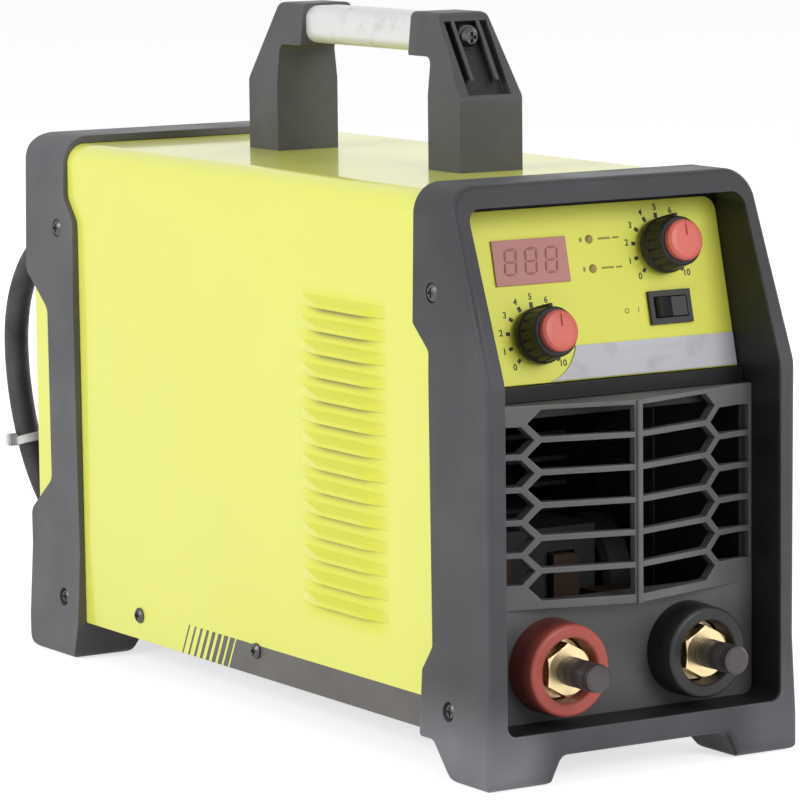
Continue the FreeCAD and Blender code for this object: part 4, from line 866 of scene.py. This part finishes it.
class NodeTool(Wiring):
    """A Geometry Nodes tree under construction, with named inputs for its sizes."""

    def __init__(self, name):
        super().__init__(bpy.data.node_groups.new(name, "GeometryNodeTree"))
        for socket, way in (("Places", "INPUT"), ("Geometry", "OUTPUT")):
            self.tree.interface.new_socket(socket, in_out=way, socket_type="NodeSocketGeometry")
        self.inlet = self.add("NodeGroupInput")
        self.outlet = self.add("NodeGroupOutput")
        self.name = name

    def size(self, name, value, kind="NodeSocketFloat"):
        """A named input, with the value that it has until `mesh` is given another."""
        socket = self.tree.interface.new_socket(name, in_out="INPUT", socket_type=kind)
        socket.default_value = value
        return self.inlet.outputs[name]

    def box(self, x, y, z):
        return self.out("GeometryNodeMeshCube", {"Size": self.vector(x, y, z)})

    def put_on(self, points, thing, **turns):
        """A copy of a thing on every point, with its Rotation or Scale where they are given."""
        feeds = {"Points": points, "Instance": thing, **turns}
        return self.out("GeometryNodeInstanceOnPoints", feeds)

    def together(self, *geometries):
        both = self.add("GeometryNodeJoinGeometry")
        for geometry in geometries:
            self.feed(both.inputs[0], geometry)
        return both.outputs[0]

    def close(self, geometry, material):
        """Ends the tree: instances become real, and everything gets its material."""
        real = self.out("GeometryNodeRealizeInstances", {0: geometry})
        feeds = {"Geometry": real, "Material": material}
        self.feed(self.outlet.inputs[0], self.out("GeometryNodeSetMaterial", feeds))
        return self

    def mesh(self, places=(), facings=(), **sizes):
        """The tree's result as a plain mesh, with its inputs set by name.

        places are points for the tree to put things on, and facings the way that each one looks.
        """
        spots = bpy.data.meshes.new(self.name)
        spots.from_pydata([tuple(place) for place in places], [], [])
        facing = spots.attributes.new("facing", "FLOAT_VECTOR", "POINT")
        for i, way in enumerate(facings):
            facing.data[i].vector = way
        holder = new_object(self.name, spots)
        modifier = holder.modifiers.new("tool", "NODES")
        modifier.node_group = self.tree
        for item in self.tree.interface.items_tree:
            if item.in_out == "INPUT" and item.name in sizes:
                modifier[item.identifier] = sizes[item.name]
        bpy.context.view_layer.update()
        return plain_mesh(holder)


# %% [markdown]
# ## Threads
# The output studs are M10 and the earth stud is M6. A thread is one ridge wound round a cylinder:
# a spiral curve with a small diamond swept along it. The ridge's root lies just inside the solid, so
# only its crest stands out.

# %% Threads
RIDGE = 0.34  # half a ridge's width, as a share of the pitch
ROOT = 0.22  # how deep its middle lies in the stud, as a share of the pitch


def thread_tool(material):
    tool = NodeTool("thread")
    radius = tool.size("Radius", 0.005)
    pitch = tool.size("Pitch", 0.0015)
    length = tool.size("Length", 0.02)
    spiral = tool.out("GeometryNodeCurveSpiral", {
        "Resolution": 28, "Rotations": tool.maths("DIVIDE", length, pitch),
        "Start Radius": radius, "End Radius": radius, "Height": length})
    ridge = tool.out("GeometryNodeCurvePrimitiveCircle", {
        "Resolution": 4, "Radius": tool.maths("MULTIPLY", pitch, RIDGE)})
    swept = tool.out("GeometryNodeCurveToMesh", {
        "Curve": spiral, "Profile Curve": ridge, "Fill Caps": True})
    return tool.close(swept, material)


def add_thread(name, node, towards, material, pitch, start, length):
    """Winds a thread on a stud; start is how far its first turn lies from the stud's free end."""
    low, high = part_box(node)
    radius = (high.x - low.x) / 2 - pitch * ROOT
    mesh = thread_tool(material).mesh(Radius=radius, Pitch=pitch, Length=length)
    end = low.y if towards < 0 else high.y
    base = Vector(((low.x + high.x) / 2, end - towards * start, (low.z + high.z) / 2))
    turn = Matrix.Rotation(math.radians(90 if towards > 0 else -90), 4, "X")
    mesh.transform(Matrix.Translation(base) @ turn)
    print(name, "has", round(length / pitch, 1), "turns")
    return add_piece(name, mesh, material)


for stud in ("positive_stud", "negative_stud"):
    thread = add_thread(stud + "_thread", stud, -1, stud_steel, 1.5 * MM, 1.4 * MM, 16.5 * MM)
add_thread("earth_stud_thread", "earth_stud", 1, brass, 1.0 * MM, 0.8 * MM, 3.6 * MM)

# %% [markdown]
# ## Printed dial scales
# Each dial has a ring of printed ticks over 270 degrees that grow from the lowest setting to the
# highest, with a number at every one. Ink has almost no thickness, so the ticks are thin slabs that
# stand a twentieth of a millimetre off the panel. The tree places a point per tick on an arc, puts
# a small slab on each and scales it by its place in the row.

# %% Printed dial scales
JOINTS = {joint["name"]: joint for joint in frame["joints"]}
OUTWARDS = Vector(JOINTS["current_dial_turn"]["axis"])
ACROSS = Vector((1, 0, 0))
UPHILL = OUTWARDS.cross(ACROSS)
INK = 0.05 * MM
SWEEP = math.radians(270)
FIRST = (math.pi + SWEEP) / 2  # the angle of the lowest setting
TICKS = 11
TICK_RADIUS, NUMBER_RADIUS, NUMBER_SIZE = 11.3 * MM, 14.2 * MM, 3.2 * MM


def on_panel(spot):
    """A matrix that puts a flat drawing on the control panel, centred on a point of its face."""
    turn = Matrix((ACROSS, UPHILL, OUTWARDS)).transposed().to_4x4()
    return Matrix.Translation(Vector(spot)) @ turn


def tick_tool():
    tool = NodeTool("dial_ticks")
    radius = tool.size("Radius", 0.011)
    long = tool.size("Tick Length", 0.0021)
    wide = tool.size("Tick Width", 0.0016)
    count = tool.size("Count", TICKS, "NodeSocketInt")
    line = tool.out("GeometryNodeMeshLine", {"Count": count, "Offset": (0, 0, 0)})
    order = tool.out("GeometryNodeInputIndex")
    share = tool.maths("DIVIDE", order, tool.maths("SUBTRACT", count, 1.0))
    angle = tool.maths("SUBTRACT", FIRST, tool.maths("MULTIPLY", share, SWEEP))
    on_arc = [tool.maths("MULTIPLY", tool.maths(kind, angle), radius) for kind in ("COSINE", "SINE")]
    points = tool.out("GeometryNodeSetPosition", {"Geometry": line, "Position": tool.vector(*on_arc)})
    grown = tool.maths("ADD", 0.75, tool.maths("MULTIPLY", share, 0.35))
    ticks = tool.put_on(points, tool.box(long, wide, INK * 2),
                        Rotation=tool.vector(0.0, 0.0, angle), Scale=tool.vector(grown, grown, 1.0))
    return tool.close(ticks, print_black)


def lettering(text, size, spot):
    """A flat number or mark as a mesh, centred on a spot of its own plane."""
    data = bpy.data.curves.new("mark", "FONT")
    data.body = text
    data.size = size
    data.offset = size * 0.02  # a bold weight
    data.extrude = INK
    data.align_x = "CENTER"
    data.align_y = "CENTER"
    mesh = plain_mesh(new_object("mark", data))
    mesh.transform(Matrix.Translation((spot[0], spot[1], 0)))
    return mesh


def merged(name, meshes):
    """Several meshes as one."""
    bm = bmesh.new()
    for mesh in meshes:
        bm.from_mesh(mesh)
    bmesh.ops.remove_doubles(bm, verts=bm.verts, dist=1e-6)
    return mesh_from(bm, name)


def dial_numbers():
    numbers = []
    for i in range(TICKS):
        angle = FIRST - SWEEP * i / (TICKS - 1)
        spot = (NUMBER_RADIUS * math.cos(angle), NUMBER_RADIUS * math.sin(angle))
        numbers.append(lettering(str(i), NUMBER_SIZE, spot))
    return numbers


tick_mesh = tick_tool().mesh(Radius=TICK_RADIUS)
for dial in ("current", "force"):
    scale = merged(dial + "_dial_scale", [tick_mesh] + dial_numbers())
    scale.transform(on_panel(JOINTS[dial + "_dial_turn"]["pos_m"]))
    add_piece(dial + "_dial_scale", scale, print_black)
    print(dial, "scale has", len(scale.polygons), "faces")

# %% [markdown]
# ## Marks beside the lamps and the switch
# A panel like this has a short mark beside each lamp and at each end of its rocker. Plain dashes and
# the usual I and O say what is needed without naming anything.

# %% Marks beside the lamps and the switch
# Millimetres to the right of the lamps, and uphill from the upper dial's middle.
LAMP_ROWS = (4.5, -6.0)
DASHES = ((5.2, 0.7, 6.4), (1.0, 1.6, -3.6), (2.6, 0.7, 11.3))  # width, height, place to the right
SWITCH_MARKS = (("I", 17.0), ("O", 12.0))
SWITCH_ROW = -22.0


def dash(wide, high, spot):
    bm = bmesh.new()
    verts = bmesh.ops.create_cube(bm, size=1.0)["verts"]
    bmesh.ops.scale(bm, vec=Vector((wide, high, 2 * INK)), verts=verts)
    bmesh.ops.translate(bm, vec=Vector((spot[0], spot[1], 0)), verts=verts)
    return mesh_from(bm, "dash")


def add_panel_marks():
    marks = [dash(wide * MM, high * MM, (right * MM, up * MM))
             for up in LAMP_ROWS for wide, high, right in DASHES]
    marks += [lettering(text, 2.6 * MM, (right * MM, SWITCH_ROW * MM)) for text, right in SWITCH_MARKS]
    mesh = merged("panel_marks", marks)
    lamp_low, lamp_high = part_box("indicator_lamps")
    dial = JOINTS["current_dial_turn"]["pos_m"]
    mesh.transform(on_panel(((lamp_low.x + lamp_high.x) / 2, dial[1], dial[2])))
    add_piece("panel_marks", mesh, print_olive)
    return len(marks)


print(add_panel_marks(), "marks beside the lamps and the switch")

# %% [markdown]
# ## Display digits
# An unlit display shows its segments faintly through the lens. A digit is seven bars, so a tree puts
# one bar on each of the places that a short list gives, upright or lying, and does so three times.

# %% Display digits
SEGMENTS = (  # right and up, in digits wide and half digits high, and 1 for an upright bar
    (0, 1, 0), (0, 0, 0), (0, -1, 0), (-0.5, 0.5, 1), (0.5, 0.5, 1), (-0.5, -0.5, 1), (0.5, -0.5, 1))
DIGIT_WIDTH, DIGIT_HALF_HEIGHT, DIGIT_PITCH = 4.6 * MM, 4.4 * MM, 8.6 * MM
SLANT = 0.12
LENS_RISE = 1.2 * MM  # from the lens's middle to its face


def segment_tool():
    """A six-sided bar on every place, turned to look along the place's facing."""
    tool = NodeTool("segments")
    long = tool.size("Bar Length", 0.0038)
    wide = tool.size("Bar Width", 0.0009)
    bar = tool.out("GeometryNodeMeshCylinder", {"Vertices": 6, "Radius": 0.5, "Depth": 2 * INK})
    shape = tool.out("GeometryNodeTransform", {"Geometry": bar, "Scale": tool.vector(long, wide, 1.0)})
    facing = tool.out("GeometryNodeInputNamedAttribute", {"Name": "facing"}, data_type="FLOAT_VECTOR")
    turn = tool.out("FunctionNodeAlignRotationToVector", {"Vector": facing}, axis="X")
    bars = tool.put_on(tool.inlet.outputs["Places"], shape, Rotation=turn)
    return tool.close(bars, ghost_digit)


def add_digits():
    places, facings = [], []
    for digit in (-1, 0, 1):
        for right, up, upright in SEGMENTS:
            rise = up * DIGIT_HALF_HEIGHT
            places.append((digit * DIGIT_PITCH + right * DIGIT_WIDTH + rise * SLANT, rise, 0))
            facings.append((SLANT, 1, 0) if upright else (1, 0, 0))
    mesh = segment_tool().mesh(places, facings)
    low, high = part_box("display_window")
    mesh.transform(on_panel((low + high) / 2 + OUTWARDS * LENS_RISE))
    add_piece("display_digits", mesh, ghost_digit)
    return len(places)


print(add_digits(), "bars in the display")

# %% [markdown]
# ## Printed band on the cover
# Along the foot of each side runs a dark band that breaks up into slanted strips towards the rear, a
# common speed stripe. The tree makes a long slab and a row of strips that get thinner one by one,
# and then leans the whole drawing over.

# %% Printed band on the cover
BAND_FRONT, BAND_BACK = (BACK + 34.8) * MM, (BACK + 183) * MM
BAND_HEIGHT = 11.7 * MM
cover_low, cover_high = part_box("top_cover")
SIDES = (("left", cover_low.x, 1), ("right", cover_high.x, -1))  # outermost X, and which way is in


def band_tool():
    tool = NodeTool("band")
    length = tool.size("Band Length", 0.148)
    height = tool.size("Band Height", 0.0117)
    pitch = tool.size("Strip Pitch", 0.0047)
    count = tool.size("Strips", 8, "NodeSocketInt")
    lean = tool.size("Lean", 0.5)
    middle = tool.maths("MULTIPLY", length, -0.5)
    slab = tool.out("GeometryNodeTransform", {
        "Geometry": tool.box(INK * 2, length, height), "Translation": tool.vector(0.0, middle)})
    row = tool.out("GeometryNodeMeshLine", {
        "Count": count, "Offset": tool.vector(0.0, pitch),
        "Start Location": tool.vector(0.0, tool.maths("MULTIPLY", pitch, 0.6))})
    share = tool.maths("DIVIDE", tool.out("GeometryNodeInputIndex"), count)
    thinner = tool.maths("SUBTRACT", 0.72, tool.maths("MULTIPLY", share, 0.6))
    strips = tool.put_on(row, tool.box(INK * 2, pitch, height), Scale=tool.vector(1.0, thinner, 1.0))
    drawing = tool.out("GeometryNodeRealizeInstances", {0: tool.together(slab, strips)})
    where = tool.parts(tool.out("GeometryNodeInputPosition"))
    behind = tool.above(where["Y"], middle)
    shift = tool.maths("MULTIPLY", tool.maths("MULTIPLY", where["Z"], lean), behind)
    leaning = tool.out("GeometryNodeSetPosition", {
        "Geometry": drawing, "Offset": tool.vector(0.0, tool.maths("MULTIPLY", shift, -1.0))})
    return tool.close(leaning, print_grey)


BAND = band_tool()
for side, face, inwards in SIDES:
    mesh = BAND.mesh(**{"Band Length": BAND_BACK - BAND_FRONT, "Band Height": BAND_HEIGHT})
    plate = face + inwards * LOUVRE_OUT
    mesh.transform(Matrix.Translation((plate, BAND_BACK, cover_low.z + BAND_HEIGHT / 2)))
    add_piece("cover_band_" + side, mesh, print_grey)
    print(side, "band has", len(mesh.polygons), "faces")

# %% [markdown]
# ## Gauze behind the louvres
# A dark gauze is put inside each louvre field as painted shade, so that nothing bright shows through
# the slits. A gauze is two rows of thin wires that cross, so the tree makes one box for each direction
# and repeats it along a line.

# %% Gauze behind the louvres
GAUZE_INSET = 4.0 * MM  # from the louvres' outer faces: the sheet, and a gap


def gauze_tool():
    tool = NodeTool("gauze")
    length = tool.size("Length", 0.038)
    height = tool.size("Height", 0.118)
    pitch = tool.size("Mesh Pitch", 0.0013)
    wire = tool.size("Wire", 0.00085)
    rows = []
    for span, step, strand in (
            (length, tool.vector(0.0, pitch, 0.0), tool.box(wire, wire, height)),
            (height, tool.vector(0.0, 0.0, pitch), tool.box(wire, length, wire))):
        halves = tool.maths("DIVIDE", span, tool.maths("MULTIPLY", pitch, -2.0))
        feeds = {0: step, 1: tool.vector(halves, halves, halves)}
        start = tool.out("ShaderNodeVectorMath", feeds, operation="MULTIPLY")
        line = tool.out("GeometryNodeMeshLine", {
            "Count": tool.maths("DIVIDE", span, pitch), "Offset": step, "Start Location": start})
        rows.append(tool.put_on(line, strand))
    return tool.close(tool.together(*rows), gauze_coat)


SHADE_GAUZE = gauze_tool()
middle_height = LOUVRE_LIP - LOUVRE_PITCH * (LOUVRES - 1) / 2 + 1.5 * MM
louvre_middle = Vector((0, (LOUVRE_FRONT + LOUVRE_REAR) / 2, middle_height))
for side, face, inwards in SIDES:
    # The dark gauze stands in for the shade behind the slits.
    mesh = SHADE_GAUZE.mesh()
    mesh.transform(Matrix.Translation(louvre_middle + Vector((face + inwards * GAUZE_INSET, 0, 0))))
    add_piece("louvre_shade_gauze_" + side, mesh, gauze_coat)
    print(side, "gauze has", len(mesh.polygons) // 6, "wires")

# %% [markdown]
# ## Stage and light
# The machine stands on a pale floor in front of white. The world lights everything softly, a large
# lamp on the left lights the cover's side, and another, in front and to the right, the panels. It
# reaches into the recess past its right wall, which stays dark. A third stands on the right and far
# enough back to light the other side of the cover alone. The floor adds a little light of its own to
# what the camera and mirrors see, so that it reads as white and still keeps the contact shadow.

# %% Stage and light
FLOOR_GREY = 0.80
FLOOR_GLOW = 0.68
ROOM_LIGHT = 0.36
LAMPS = (  # place, width and watts
    ("key_lamp", (-1.95, 0.15, 0.95), 1.0, 22),
    ("fill_lamp", (0.45, -2.2, 1.0), 1.2, 25),
    ("side_lamp", (1.9, 0.75, 0.8), 1.0, 16),
)


def seen_directly(wiring):
    """1 for rays from the camera, from gloss and through glass."""
    rays = wiring.add("ShaderNodeLightPath").outputs
    total = rays["Is Camera Ray"]
    for kind in ("Is Glossy Ray", "Is Transmission Ray"):
        total = wiring.maths("MAXIMUM", total, rays[kind])
    return total


def add_floor():
    bm = bmesh.new()
    bmesh.ops.create_circle(bm, cap_ends=True, radius=9.0, segments=64)
    floor = new_object("studio_floor", mesh_from(bm, "studio_floor"))
    material = bpy.data.materials.new("studio_floor")
    material.use_nodes = True
    wiring = Wiring(material.node_tree)
    wiring.tree.nodes.clear()
    glow = wiring.maths("MULTIPLY", seen_directly(wiring), FLOOR_GLOW)
    both = wiring.out("ShaderNodeAddShader", {
        0: wiring.out("ShaderNodeBsdfDiffuse", {"Color": (FLOOR_GREY, FLOOR_GREY, FLOOR_GREY, 1)}),
        1: wiring.out("ShaderNodeEmission", {"Strength": glow})})
    wiring.add("ShaderNodeOutputMaterial", {"Surface": both})
    floor.data.materials.append(material)


def add_world():
    """A white room that lights the machine softly and is itself seen as plain white."""
    world = bpy.data.worlds.new("studio")
    world.use_nodes = True
    wiring = Wiring(world.node_tree)
    strength = wiring.out("ShaderNodeMapRange", {
        "Value": seen_directly(wiring), "To Min": ROOM_LIGHT, "To Max": 1.0})
    background = wiring.tree.nodes["Background"]
    wiring.feed(background.inputs["Color"], (1, 1, 1, 1))
    wiring.feed(background.inputs["Strength"], strength)
    bpy.context.scene.world = world


def add_lamp(name, place, size, power):
    data = bpy.data.lights.new(name, "AREA")
    data.shape = "DISK"
    data.size = size
    data.energy = power
    lamp = new_object(name, data)
    lamp.location = place
    lamp.rotation_mode = "QUATERNION"
    lamp.rotation_quaternion = (AIM - Vector(place)).to_track_quat("-Z", "Y")


add_floor()
add_world()
for lamp_row in LAMPS:
    add_lamp(*lamp_row)
bpy.context.scene.view_settings.view_transform = "Standard"
print("lamps:", [row[0] for row in LAMPS])
